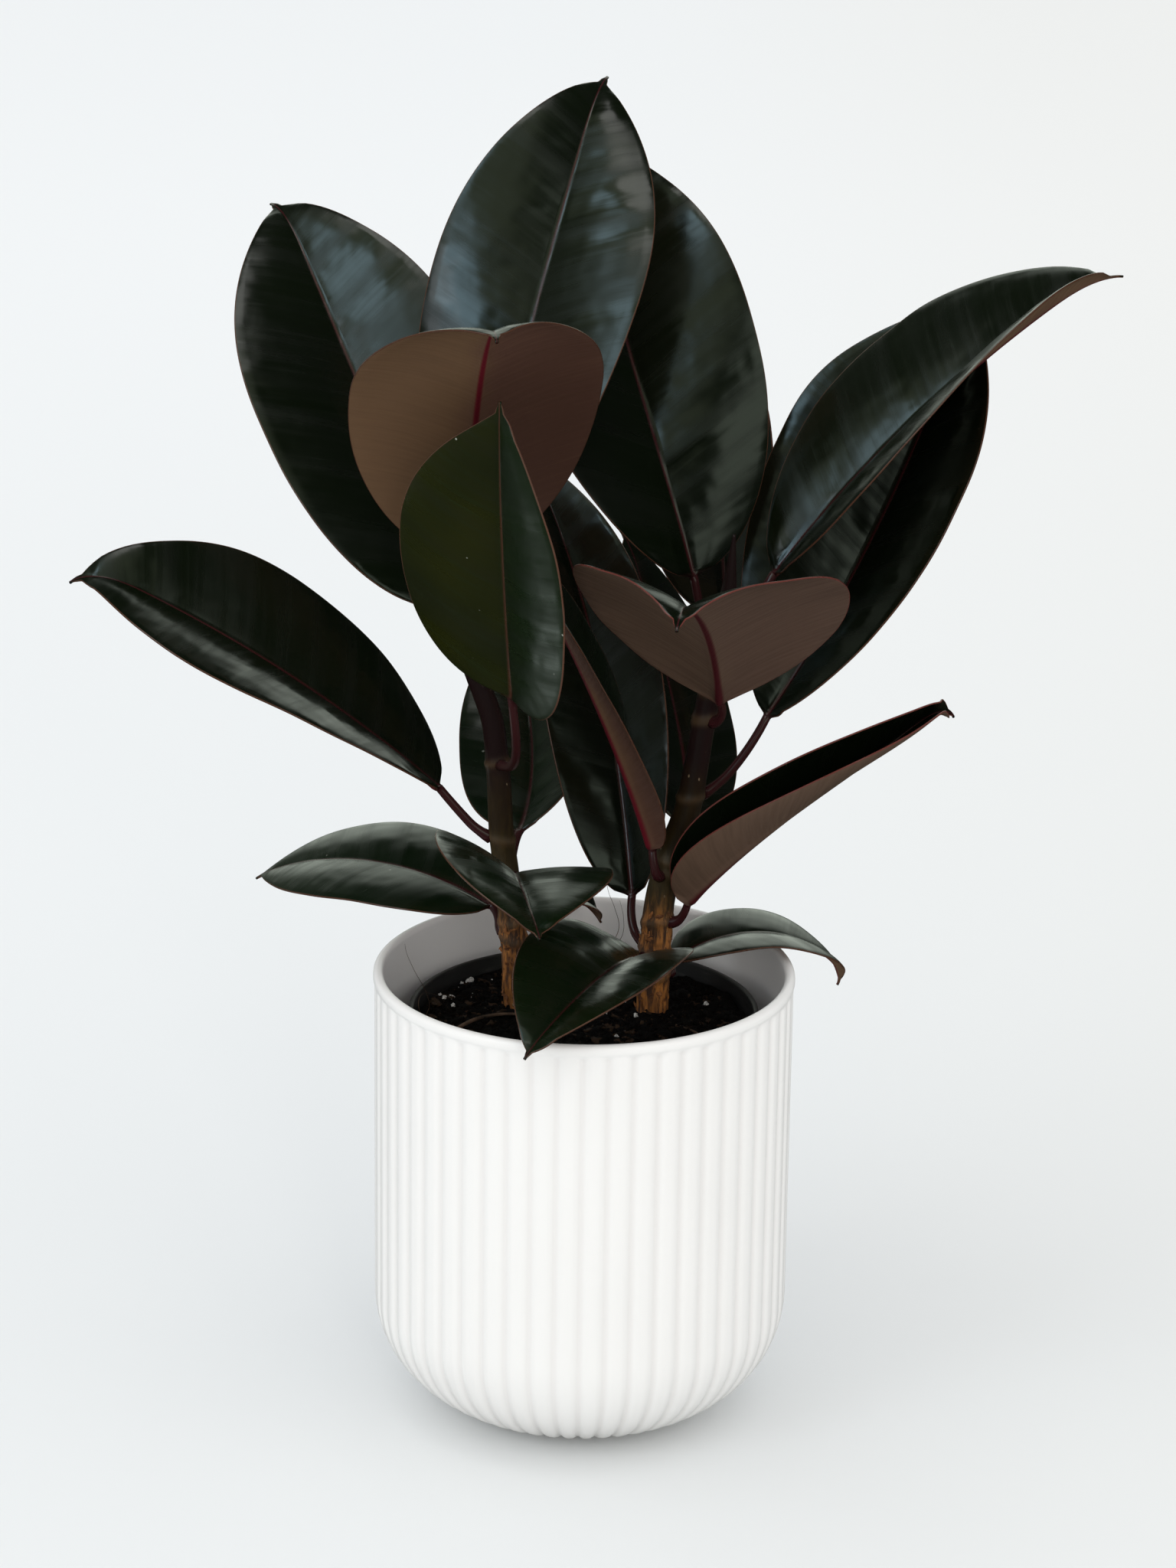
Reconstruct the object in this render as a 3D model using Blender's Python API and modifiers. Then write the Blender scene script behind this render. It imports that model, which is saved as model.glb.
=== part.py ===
"""Potted rubber plant: ribbed cover pot, growing pot, soil, two stems and their twenty leaves.

The origin is the centre of the cover pot's foot, +Z is up and +Y points away from the viewer.
Lengths below are in millimetres and angles in degrees; meshes are scaled to metres by MM.
"""
import math
from dataclasses import dataclass

import bmesh
import bpy
import numpy as np
from mathutils import Matrix, Vector, noise

MM = 0.001
GAP = 0.3

# Cover pot
POT_RADIUS = 75.0
POT_HEIGHT = 166.0
POT_WALL = 4.2
LIP_WIDTH = 3.7
LIP_FLAT = 1.0
LIP_ROUNDING = 1.3
BAND_HEIGHT = 3.4
BAND_STEP = 0.5
RIB_COUNT = 52
STEPS_PER_RIB = 3
RIB_DEPTH = 1.0
CORNER_WIDTH = 48.0
CORNER_HEIGHT = 43.0
CORNER_ROWS = 6
FLOOR_THICKNESS = 6.0
FOOT_RADIUS = POT_RADIUS - CORNER_WIDTH

# Growing pot and soil
ROUND_STEPS = 40
NURSERY_RIM_RADIUS = 62.5
NURSERY_TOP = 150.5
NURSERY_RIM_HEIGHT = 8.0
NURSERY_RIM_STEP = 1.6
NURSERY_BASE_RADIUS = 46.0
NURSERY_WALL = 1.3
SOIL_TOP = 145.0
SOIL_LUMP = 1.8
SOIL_LUMP_SIZE = 11.0
SOIL_SHOULDER = 4.0
SOIL_RINGS = (0.0, 0.16, 0.34, 0.52, 0.7, 0.86, 0.96)
STEM_FOOT = 115.0
HOLE_SIDES = 16
HOLE_CLEARANCE = 1.5 * GAP
CUTTER_OVERRUN = 10.0

# Leaves and stems
BLADE_THICKNESS = 0.8
BLADE_END = 0.96
OUTLINE_POWER = 2.3
BASE_FULLNESS = 0.55
TIP_FULLNESS = 0.95
NODE_RING = 1.12
NODE_RING_REACH = 2.0
STEM_ROW_SPACING = 11.0
DRIP_TIP_SHARE = 0.05
DRIP_TIP_LENGTH = 0.08
DRIP_TIP_HALF_WIDTH = 0.8
HOOK_START = 0.8
PETIOLE_ROWS = 4
PETIOLE_FOOT = 1.15
PETIOLE_TAPER = 0.2
WALK_STEPS = 8
RIB_HALF_WIDTH = 1.5
RIB_SHARE = 0.35
KEEL_AT_BASE = 1.1
KEEL_AT_TIP = 0.2
OPEN_OUT_WIDTH = 8.0
ACROSS = 7


@dataclass(frozen=True)
class Stem:
    """A bare stem that ends in a bud: its centre line and its radii by height."""

    name: str
    path: tuple
    radii: tuple


@dataclass(frozen=True)
class Leaf:
    """One leaf: a petiole and a blade that bend from one heading and rise to another."""

    name: str
    stem: str
    height: float
    heading: tuple
    rise: tuple
    petiole: float
    length: float
    width: float
    roll: tuple
    fold: tuple
    curl: float = 0.0
    widest: float = 0.47
    hook: float = 0.0
    petiole_radius: float = 1.5
    rows: int = 12


STEMS = (
    Stem("stem_left",
         path=((-24, 12, STEM_FOOT), (-24, 12, 145), (-25, 12, 168), (-27.5, 11, 192), (-30, 10, 213),
               (-31.5, 8, 239), (-34, 6, 258), (-39, 5, 272), (-44, 4, 286), (-48, 3.5, 301)),
         radii=((STEM_FOOT, 5.2), (168, 4.8), (239, 4.2), (286, 3.4), (292, 2.6), (301, 0.5))),
    Stem("stem_right",
         path=((24.5, 12, STEM_FOOT), (24.5, 12, 145), (25.5, 12, 173), (27.5, 12, 193), (31, 12, 207),
               (35.5, 12, 221), (38.5, 12, 238), (40.5, 12, 252), (42.5, 12, 265), (45, 12, 281),
               (48, 12, 298), (50, 12, 323)),
         radii=((STEM_FOOT, 6.2), (173, 5.6), (193, 5.3), (238, 4.4), (281, 3.8), (298, 3.3), (323, 0.5))),
)

LEAVES = (
    Leaf("leaf_top_left", "stem_left", 285, heading=(126, 129, 120), rise=(50, 53, 42), petiole=14,
         length=176, width=84, roll=(-21, -20), fold=(15, 16), curl=1, widest=0.49, hook=-50, rows=14),
    Leaf("leaf_top_middle", "stem_left", 282, heading=(67, 52, 72), rise=(67, 76, 45), petiole=31,
         length=190, width=79, roll=(-8, 23), fold=(11, 11), curl=-1, widest=0.5, hook=-42, rows=14),
    Leaf("leaf_top_front", "stem_left", 284, heading=(-80, -85, -83), rise=(86, 66, 22), petiole=34,
         length=166, width=85, roll=(3, 2), fold=(9, 7), curl=-3, widest=0.51, hook=-48, rows=14),
    Leaf("leaf_olive_front", "stem_left", 240, heading=(-70, -100, -90), rise=(10, 70, 66), petiole=62,
         length=124, width=80, roll=(150, 150), fold=(9, 25), curl=-3, widest=0.42, hook=30),
    Leaf("leaf_far_left", "stem_left", 211, heading=(185, 181, 175), rise=(38, 42, 22), petiole=29,
         length=155, width=72, roll=(-8, -33), fold=(17, 18), curl=1, widest=0.51, hook=-62, rows=14),
    Leaf("leaf_low_left", "stem_left", 173, heading=(141, 148, 148), rise=(69, 19, -31), petiole=14,
         length=110, width=54, roll=(-11, -17), fold=(3, 3), curl=-4, widest=0.48, hook=-6, rows=10),
    Leaf("leaf_low_front", "stem_left", 188, heading=(-73, -90, -76), rise=(59, 26, -16), petiole=21,
         length=86, width=65, roll=(-16, -6), fold=(16, 17), curl=0, widest=0.46, hook=-14, rows=10),
    Leaf("leaf_withered", "stem_left", 180, heading=(55, 30, 34), rise=(30, 12, -65), petiole=12,
         length=34, width=22, roll=(16, 24), fold=(20, 20), curl=1, petiole_radius=1.0, rows=8),
    Leaf("leaf_low_back", "stem_left", 188, heading=(90, 78, 112), rise=(51, 12, 47), petiole=31,
         length=115, width=54, roll=(-16, -23), fold=(17, 18), rows=10),
    Leaf("leaf_upper_back", "stem_right", 272, heading=(109, 136, 89), rise=(67, 68, 32), petiole=35,
         length=180, width=90, roll=(-8, -19), fold=(16, 17), widest=0.5, hook=-55, rows=14),
    Leaf("leaf_rear", "stem_right", 267, heading=(67, 92, 99), rise=(18, 36, 28), petiole=37,
         length=149, width=56, roll=(-25, -25), fold=(19, 20), curl=6, hook=-5),
    Leaf("leaf_top_right", "stem_right", 257, heading=(18, 14, 17), rise=(77, 52, 29), petiole=56,
         length=166, width=80, roll=(14, -12), fold=(24, 22), curl=-1, widest=0.58, hook=-39, rows=14),
    Leaf("leaf_tall_right", "stem_right", 227, heading=(14, 32, 39), rise=(35, 49, 69), petiole=39,
         length=171, width=92, roll=(21, 16), fold=(29, 30), curl=3, widest=0.58, hook=-17, rows=14),
    Leaf("leaf_broad_front", "stem_right", 255, heading=(-44, -94, -100), rise=(38, 38, 18), petiole=18,
         length=173, width=98, roll=(1, 1), fold=(19, 21), curl=2, widest=0.48, hook=-60, rows=14),
    Leaf("leaf_right_trough", "stem_right", 180, heading=(-30, -29, 47), rise=(22, 50, 22), petiole=15,
         length=129, width=53, roll=(40, 62), fold=(56, 70), curl=30, hook=-80, rows=14),
    Leaf("leaf_folded", "stem_right", 198, heading=(243, 194, 161), rise=(40, 73, 58), petiole=13,
         length=126, width=39, roll=(3, 0), fold=(23, 22), curl=-4, widest=0.43, hook=5),
    Leaf("leaf_upright_back", "stem_right", 204, heading=(50, 90, 121), rise=(6, 23, 57), petiole=21,
         length=136, width=44, roll=(12, 10), fold=(6, 4), curl=-4, hook=-34),
    Leaf("leaf_middle_back", "stem_right", 169, heading=(130, 102, 120), rise=(12, 64, 36), petiole=24,
         length=185, width=50, roll=(-30, -7), fold=(22, 22), curl=12, hook=-15, rows=14),
    Leaf("leaf_lowest_front", "stem_right", 162, heading=(-117, -105, -124), rise=(50, 20, -24),
         petiole=15, length=103, width=57, roll=(-5, -4), fold=(20, 22), curl=2, widest=0.46,
         hook=-10, rows=10),
    Leaf("leaf_lowest_right", "stem_right", 159, heading=(9, 18, 22), rise=(40, 31, -58), petiole=9,
         length=79, width=42, roll=(-1, 4), fold=(6, 7), curl=-3, hook=-70, petiole_radius=1.2, rows=10),
)


def clear_scene() -> None:
    """Remove whatever the file already holds."""
    for thing in list(bpy.data.objects):
        bpy.data.objects.remove(thing, do_unlink=True)


def new_collection(name: str) -> bpy.types.Collection:
    """Make a collection under the scene's own."""
    group = bpy.data.collections.new(name)
    bpy.context.scene.collection.children.link(group)
    return group


def new_material(name: str, colour: tuple, roughness: float) -> bpy.types.Material:
    """Make a plain finish for one piece."""
    finish = bpy.data.materials.new(name)
    finish.use_nodes = True
    shader = finish.node_tree.nodes["Principled BSDF"]
    shader.inputs["Base Color"].default_value = (*colour, 1.0)
    shader.inputs["Roughness"].default_value = roughness
    shader.inputs["Metallic"].default_value = 0.0
    return finish


def mesh_object(name: str, mesh: bpy.types.Mesh, group: bpy.types.Collection,
                finish: bpy.types.Material, sharp_angle: float = 40.0) -> bpy.types.Object:
    """Place a mesh in a collection, smooth and with its finish."""
    mesh.name = name
    mesh.shade_smooth()
    mesh.set_sharp_from_angle(angle=math.radians(sharp_angle))
    mesh.materials.clear()
    mesh.materials.append(finish)
    thing = bpy.data.objects.new(name, mesh)
    group.objects.link(thing)
    return thing


def evaluated_mesh(thing: bpy.types.Object) -> bpy.types.Mesh:
    """Turn an object with its modifiers into a plain welded mesh and drop the object."""
    bpy.context.view_layer.update()
    depsgraph = bpy.context.evaluated_depsgraph_get()
    mesh = bpy.data.meshes.new_from_object(thing.evaluated_get(depsgraph))
    bpy.data.objects.remove(thing, do_unlink=True)
    cage = bmesh.new()
    cage.from_mesh(mesh)
    bmesh.ops.remove_doubles(cage, verts=cage.verts, dist=0.000005)
    cage.to_mesh(mesh)
    cage.free()
    return mesh


def turned_mesh(profile: list, steps: int) -> bpy.types.Mesh:
    """Turn a profile of (radius, height) points, given down its outer side, about the Z axis."""
    mesh = bpy.data.meshes.new("profile")
    points = [(radius * MM, 0.0, height * MM) for radius, height in profile]
    mesh.from_pydata(points, [(i, i + 1) for i in range(len(points) - 1)], [])
    thing = bpy.data.objects.new("profile", mesh)
    bpy.context.scene.collection.objects.link(thing)
    screw = thing.modifiers.new("turn", "SCREW")
    screw.steps = steps
    screw.render_steps = steps
    screw.use_merge_vertices = True
    screw.merge_threshold = 0.00001
    return evaluated_mesh(thing)


def cut(body: bpy.types.Object, cutter: bpy.types.Object) -> None:
    """Take a cutter out of a body and keep the modifier on it."""
    cutter.hide_render = True
    cutter.display_type = "WIRE"
    boolean = body.modifiers.new("cut_" + cutter.name, "BOOLEAN")
    boolean.operation = "DIFFERENCE"
    boolean.solver = "EXACT"
    boolean.object = cutter


def smooth_value(knots: list, values: list, at: float) -> float:
    """Read a smooth curve through knots, with each knot's slope taken from its neighbours."""
    slopes = np.gradient(values, knots)
    last = len(knots) - 2
    i = int(np.clip(np.searchsorted(knots, at) - 1, 0, last))
    span = knots[i + 1] - knots[i]
    t = (at - knots[i]) / span
    here = (1 + 2 * t) * (1 - t) ** 2 * values[i] + t * (1 - t) ** 2 * span * slopes[i]
    there = t * t * (3 - 2 * t) * values[i + 1] + t * t * (t - 1) * span * slopes[i + 1]
    return float(here + there)


def outer_corner(angle: float) -> tuple:
    """Point of the pot's rounded bottom corner, from 0 at the wall to 90 at the foot."""
    turn = math.radians(angle)
    radius = FOOT_RADIUS + (CORNER_WIDTH - BAND_STEP) * math.cos(turn)
    return radius, CORNER_HEIGHT * (1 - math.sin(turn))


def inner_corner(angle: float) -> tuple:
    """Point of the cavity's rounded bottom corner, one wall inside the outer one."""
    turn = math.radians(angle)
    width = CORNER_WIDTH - BAND_STEP - POT_WALL
    depth = CORNER_HEIGHT - FLOOR_THICKNESS
    return FOOT_RADIUS + width * math.cos(turn), CORNER_HEIGHT - depth * math.sin(turn)


def cavity_height(radius: float) -> float:
    """Height of the cavity's floor at a radius."""
    corner = [inner_corner(90 * row / CORNER_ROWS) for row in range(CORNER_ROWS, -1, -1)]
    return float(np.interp(radius, [point[0] for point in corner], [point[1] for point in corner]))


def rib_the_wall(mesh: bpy.types.Mesh) -> None:
    """Press the grooves between the ribs into the wall and round the bottom corner."""
    wall_radius = POT_RADIUS - BAND_STEP
    rib_top = POT_HEIGHT - BAND_HEIGHT - BAND_STEP
    for vertex in mesh.vertices:
        x, y, z = vertex.co / MM
        radius = math.hypot(x, y)
        if z > rib_top - GAP or radius < FOOT_RADIUS - GAP:
            continue
        phase = (math.atan2(y, x) / math.tau * RIB_COUNT) % 1.0
        crest = math.sqrt(max(0.0, 1 - (2 * phase - 1) ** 2))
        out, down = 1.0, 0.0
        if z < CORNER_HEIGHT:
            out = (radius - FOOT_RADIUS) / CORNER_WIDTH ** 2
            down = (CORNER_HEIGHT - z) / CORNER_HEIGHT ** 2
        size = math.hypot(out, down)
        depth = RIB_DEPTH * (1 - crest) * min(1.0, (radius - FOOT_RADIUS) / (wall_radius - FOOT_RADIUS) * 2)
        scale = (radius - depth * out / size) / radius
        vertex.co = Vector((x * scale, y * scale, z + depth * down / size)) * MM


def make_cover_pot(group: bpy.types.Collection, cutters: bpy.types.Collection) -> None:
    """Turn the ribbed pot and hollow it."""
    finish = new_material("white_ceramic", (0.86, 0.86, 0.85), 0.3)
    lip = POT_RADIUS - LIP_WIDTH / 2
    side = POT_RADIUS - BAND_STEP
    shoulder = POT_HEIGHT - LIP_ROUNDING / 2
    band_top = POT_HEIGHT - 2 * LIP_ROUNDING
    band_foot = POT_HEIGHT - BAND_HEIGHT
    profile = [(0, POT_HEIGHT), (lip + LIP_FLAT / 2, POT_HEIGHT), (POT_RADIUS - LIP_ROUNDING / 4, shoulder),
               (POT_RADIUS, band_top), (POT_RADIUS, band_foot), (side, band_foot - BAND_STEP),
               (side, band_foot - 4 * BAND_STEP)]
    profile += [outer_corner(90 * row / CORNER_ROWS) for row in range(CORNER_ROWS + 1)]
    profile += [(0, 0)]
    mesh = turned_mesh(profile, RIB_COUNT * STEPS_PER_RIB)
    rib_the_wall(mesh)
    pot = mesh_object("cover_pot", mesh, group, finish)

    inner = POT_RADIUS - LIP_WIDTH
    mouth = lip - LIP_FLAT / 2
    cavity = [(0, POT_HEIGHT + CUTTER_OVERRUN), (mouth, POT_HEIGHT + CUTTER_OVERRUN), (mouth, POT_HEIGHT),
              (inner + LIP_ROUNDING / 4, shoulder), (inner, band_top), (inner, band_foot - BAND_HEIGHT)]
    cavity += [inner_corner(90 * row / CORNER_ROWS) for row in range(CORNER_ROWS + 1)]
    cavity += [(0, FLOOR_THICKNESS)]
    cutter = mesh_object("pot_cavity", turned_mesh(cavity, RIB_COUNT), cutters, finish)
    cut(pot, cutter)


def nursery_inner_radius(height: float) -> float:
    """Inner radius of the growing pot's tapered wall at a height."""
    base = cavity_height(NURSERY_BASE_RADIUS) + GAP
    top = NURSERY_TOP - NURSERY_RIM_HEIGHT
    share = (height - base) / (top - base)
    outer = NURSERY_BASE_RADIUS + (NURSERY_RIM_RADIUS - NURSERY_RIM_STEP - NURSERY_BASE_RADIUS) * share
    return outer - NURSERY_WALL


def make_nursery_pot(group: bpy.types.Collection) -> None:
    """Turn the thin growing pot, with its stepped rim, standing on the cavity's rounded floor."""
    finish = new_material("black_plastic", (0.012, 0.012, 0.012), 0.45)
    base = cavity_height(NURSERY_BASE_RADIUS) + GAP
    rim_foot = NURSERY_TOP - NURSERY_RIM_HEIGHT
    wall_top = NURSERY_RIM_RADIUS - NURSERY_RIM_STEP
    floor = base + NURSERY_WALL
    profile = [(0, floor), (nursery_inner_radius(floor), floor), (wall_top - NURSERY_WALL, rim_foot),
               (NURSERY_RIM_RADIUS - 1.5 * NURSERY_WALL, rim_foot + 1.5),
               (NURSERY_RIM_RADIUS - 1.5 * NURSERY_WALL, NURSERY_TOP),
               (NURSERY_RIM_RADIUS, NURSERY_TOP), (NURSERY_RIM_RADIUS, rim_foot), (wall_top, rim_foot),
               (NURSERY_BASE_RADIUS, base), (0, base)]
    mesh_object("nursery_pot", turned_mesh(profile, ROUND_STEPS), group, finish)


def soil_lump(x: float, y: float) -> float:
    """Height of the soil's lumps over its mean level."""
    place = Vector((x, y, 0.0)) / SOIL_LUMP_SIZE
    return SOIL_LUMP * (noise.noise(place) + 0.5 * noise.noise(place * 2.1))


def make_soil(group: bpy.types.Collection, cutters: bpy.types.Collection) -> None:
    """Turn the soil, raise its lumps and bore a plain hole for each stem."""
    finish = new_material("potting_mix", (0.035, 0.026, 0.02), 0.95)
    floor = cavity_height(NURSERY_BASE_RADIUS) + GAP + NURSERY_WALL + GAP
    shoulder = SOIL_TOP - SOIL_SHOULDER
    edge = nursery_inner_radius(shoulder) - GAP
    rings = [(edge * share, SOIL_TOP) for share in SOIL_RINGS]
    profile = rings + [(edge, shoulder), (nursery_inner_radius(floor) - GAP, floor), (0, floor)]
    mesh = turned_mesh(profile, ROUND_STEPS)
    for vertex in mesh.vertices:
        x, y, z = vertex.co / MM
        if z > SOIL_TOP - GAP:
            vertex.co.z += soil_lump(x, y) * MM
    soil = mesh_object("soil", mesh, group, finish, sharp_angle=60.0)
    for stem in STEMS:
        x, y, foot = stem.path[0]
        hole = bmesh.new()
        radius = (stem.radii[0][1] + HOLE_CLEARANCE) * MM
        depth = (SOIL_TOP + CUTTER_OVERRUN - (foot - GAP)) * MM
        middle = Vector((x, y, foot - GAP)) * MM + Vector((0, 0, depth / 2))
        bmesh.ops.create_cone(hole, cap_ends=True, segments=HOLE_SIDES, radius1=radius, radius2=radius,
                              depth=depth, matrix=Matrix.Translation(middle))
        mesh = bpy.data.meshes.new(stem.name + "_hole")
        hole.to_mesh(mesh)
        hole.free()
        cut(soil, mesh_object(stem.name + "_hole", mesh, cutters, finish))


def stem_centre(stem: Stem, height: float) -> np.ndarray:
    """Point of a stem's centre line at a height."""
    heights = [point[2] for point in stem.path]
    x = smooth_value(heights, [point[0] for point in stem.path], height)
    y = smooth_value(heights, [point[1] for point in stem.path], height)
    return np.array((x, y, height))


def stem_radius(stem: Stem, height: float) -> float:
    """Radius of a stem at a height, without its node rings."""
    return float(np.interp(height, [r[0] for r in stem.radii], [r[1] for r in stem.radii]))


def make_stem(stem: Stem, group: bpy.types.Collection) -> None:
    """Sweep one stem, with a low ring at each leaf's height and a pointed bud at its end."""
    finish = new_material(stem.name + "_bark", (0.14, 0.09, 0.05), 0.6)
    foot, top = stem.path[0][2], stem.path[-1][2]
    nodes = [leaf.height for leaf in LEAVES if leaf.stem == stem.name]
    heights = set(np.linspace(foot, top, int((top - foot) / STEM_ROW_SPACING)).round(1))
    heights |= {radius[0] for radius in stem.radii}
    for node in nodes:
        near = {height for height in heights if 0 < abs(height - node) < NODE_RING_REACH}
        heights = (heights - near) | {node - NODE_RING_REACH, node, node + NODE_RING_REACH}
    heights = sorted(height for height in heights if foot <= height <= top)

    curve = bpy.data.curves.new(stem.name, "CURVE")
    curve.dimensions = "3D"
    curve.bevel_depth = MM
    curve.bevel_resolution = 3
    curve.use_fill_caps = True
    spline = curve.splines.new("POLY")
    spline.points.add(len(heights) - 1)
    for point, height in zip(spline.points, heights):
        point.co = (*(stem_centre(stem, height) * MM), 1.0)
        ring = NODE_RING if height in nodes else 1.0
        point.radius = stem_radius(stem, height) * ring
    curve.materials.append(finish)
    thing = bpy.data.objects.new(stem.name, curve)
    group.objects.link(thing)


def blade_share(along: float, widest: float) -> float:
    """Half-width of a blade at a share of its length, as a share of its largest half-width."""
    bend = math.log(0.5) / math.log(widest)
    place = 2 * min(along / BLADE_END, 1.0) ** bend - 1
    if place < 0:
        body = (1 - (-place) ** OUTLINE_POWER) ** BASE_FULLNESS
    else:
        body = (1 - place ** OUTLINE_POWER) ** TIP_FULLNESS
    drip = DRIP_TIP_SHARE * min((1 - along) / DRIP_TIP_LENGTH, 1.0) if along > 0.5 else 0.0
    return max(body, drip)


def blade_rows(count: int) -> list:
    """Shares of the blade's length where its rows stand, closer at its round base and at its tip."""
    base = [0.0, 0.03, 0.1]
    middle = list(np.linspace(0.1, 0.88, count - 4)[1:])
    return base + middle + [0.95, 1.0]


def leaf_centreline(leaf: Leaf, stem: Stem) -> list:
    """Walk the petiole and the blade: point, forward, sideways and up at each row, with its share."""
    rows = [(share, 0.0) for share in np.linspace(0, 1, PETIOLE_ROWS)]
    rows += [(1.0, share) for share in blade_rows(leaf.rows)[1:]]

    def forward(petiole_share: float, blade_part: float) -> tuple:
        if blade_part <= 0:
            heading = leaf.heading[0] + (leaf.heading[1] - leaf.heading[0]) * petiole_share
            rise = leaf.rise[0] + (leaf.rise[1] - leaf.rise[0]) * petiole_share
        else:
            heading = leaf.heading[1] + (leaf.heading[2] - leaf.heading[1]) * blade_part
            rise = leaf.rise[1] + (leaf.rise[2] - leaf.rise[1]) * blade_part
            rise += leaf.hook * max(0.0, (blade_part - HOOK_START) / (1 - HOOK_START)) ** 2
        return math.radians(heading), math.radians(rise)

    root = stem_centre(stem, leaf.height)
    heading, rise = forward(0.0, 0.0)
    reach = stem_radius(stem, leaf.height) * NODE_RING + leaf.petiole_radius * math.sin(rise) + GAP
    outward = np.array((math.cos(heading), math.sin(heading), 0.0))
    point = root.copy()
    centreline = []
    before = rows[0]
    for row in rows:
        for part in range(WALK_STEPS):
            share = (part + 0.5) / WALK_STEPS
            mid = [a + (b - a) * share for a, b in zip(before, row)]
            heading, rise = forward(*mid)
            length = (row[0] - before[0]) * leaf.petiole + (row[1] - before[1]) * leaf.length
            ahead = np.array((math.cos(rise) * math.cos(heading), math.cos(rise) * math.sin(heading),
                              math.sin(rise)))
            point = point + ahead * length / WALK_STEPS
        heading, rise = forward(*row)
        side = np.array((-math.sin(heading), math.cos(heading), 0.0))
        up = np.array((-math.sin(rise) * math.cos(heading), -math.sin(rise) * math.sin(heading),
                       math.cos(rise)))
        roll = math.radians(leaf.roll[0] + (leaf.roll[1] - leaf.roll[0]) * row[1])
        rolled_side = math.cos(roll) * side + math.sin(roll) * up
        rolled_up = math.cos(roll) * up - math.sin(roll) * side
        pushed = point + outward * reach * (1 - row[0])
        centreline.append((row[1], pushed, rolled_side, rolled_up))
        before = row
    return centreline


def petiole_section(point: np.ndarray, side: np.ndarray, up: np.ndarray, radius: float) -> tuple:
    """Round section as two rows of points, upper and lower, from left to right."""
    upper, lower = [], []
    for place in range(ACROSS):
        angle = math.pi * (place + 0.5) / ACROSS
        across = side * math.cos(angle) * radius
        upper.append(point + across + up * math.sin(angle) * radius)
        lower.append(point + across - up * math.sin(angle) * radius)
    return upper, lower


def blade_section(leaf: Leaf, along: float, point: np.ndarray, side: np.ndarray, up: np.ndarray) -> tuple:
    """Folded thin section of the blade with its midrib raised below."""
    half = max(leaf.width / 2 * blade_share(along, leaf.widest), DRIP_TIP_HALF_WIDTH)
    rib_half = min(RIB_HALF_WIDTH, RIB_SHARE * half)
    keel = leaf.petiole_radius * KEEL_AT_BASE * (1 - along) + KEEL_AT_TIP
    folded = min(1.0, half / OPEN_OUT_WIDTH)
    upper, lower = [], []
    for sign, fold, reaches in ((1, leaf.fold[0], (half, half / 2, rib_half)), (1, 0, (0.0,)),
                                (-1, leaf.fold[1], (rib_half, half / 2, half))):
        for reach in reaches:
            lean = math.radians(fold + leaf.curl * reach / half / 2) * folded if reach else 0.0
            turn = math.radians(fold + leaf.curl * reach / half) * folded if reach else 0.0
            middle = point + side * sign * math.cos(lean) * reach + up * math.sin(lean) * reach
            normal = up * math.cos(turn) - side * sign * math.sin(turn)
            upper.append(middle + normal * BLADE_THICKNESS / 2)
            lower.append(middle - normal * (BLADE_THICKNESS / 2 + (keel if reach == 0 else 0)))
    return upper, lower


def make_leaf(leaf: Leaf, stem: Stem, group: bpy.types.Collection, finish: bpy.types.Material) -> None:
    """Loft one leaf from its round petiole to its drip tip, in triangles alike on both faces."""
    sections = []
    centreline = leaf_centreline(leaf, stem)
    for index, (along, point, side, up) in enumerate(centreline):
        if index < PETIOLE_ROWS:
            radius = leaf.petiole_radius * (PETIOLE_FOOT - PETIOLE_TAPER * index / PETIOLE_ROWS)
            sections.append(petiole_section(point, side, up, radius))
        else:
            sections.append(blade_section(leaf, along, point, side, up))

    cage = bmesh.new()
    rows = []
    for upper, lower in sections:
        rows.append(([cage.verts.new(Vector(p) * MM) for p in upper],
                     [cage.verts.new(Vector(p) * MM) for p in lower]))
    for (upper, lower), (next_upper, next_lower) in zip(rows, rows[1:]):
        for j in range(ACROSS - 1):
            for near, far, top in ((upper, next_upper, True), (lower, next_lower, False)):
                corners = [near[j], near[j + 1], far[j + 1], far[j]]
                if not top:
                    corners = [near[j + 1], near[j], far[j], far[j + 1]]
                slant = (j < ACROSS // 2) == top
                order = ((0, 1, 2), (0, 2, 3)) if slant else ((0, 1, 3), (1, 2, 3))
                for triangle in order:
                    cage.faces.new([corners[i] for i in triangle])
        cage.faces.new([lower[0], upper[0], next_upper[0], next_lower[0]])
        cage.faces.new([upper[-1], lower[-1], next_lower[-1], next_upper[-1]])
    for upper, lower in (rows[0], rows[-1]):
        for j in range(ACROSS - 1):
            cage.faces.new([upper[j], upper[j + 1], lower[j + 1], lower[j]])
    bmesh.ops.recalc_face_normals(cage, faces=cage.faces)
    mesh = bpy.data.meshes.new(leaf.name)
    cage.to_mesh(mesh)
    cage.free()
    mesh_object(leaf.name, mesh, group, finish, sharp_angle=60.0)


def main() -> None:
    """Build the plant, piece by piece."""
    clear_scene()
    plant = new_collection("potted_rubber_plant")
    cutters = new_collection("cutters")
    make_cover_pot(plant, cutters)
    make_nursery_pot(plant)
    make_soil(plant, cutters)
    stems = {stem.name: stem for stem in STEMS}
    for stem in STEMS:
        make_stem(stem, plant)
    for leaf in LEAVES:
        finish = new_material(leaf.name + "_green", (0.02, 0.05, 0.02), 0.3)
        make_leaf(leaf, stems[leaf.stem], plant, finish)


main()
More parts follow.
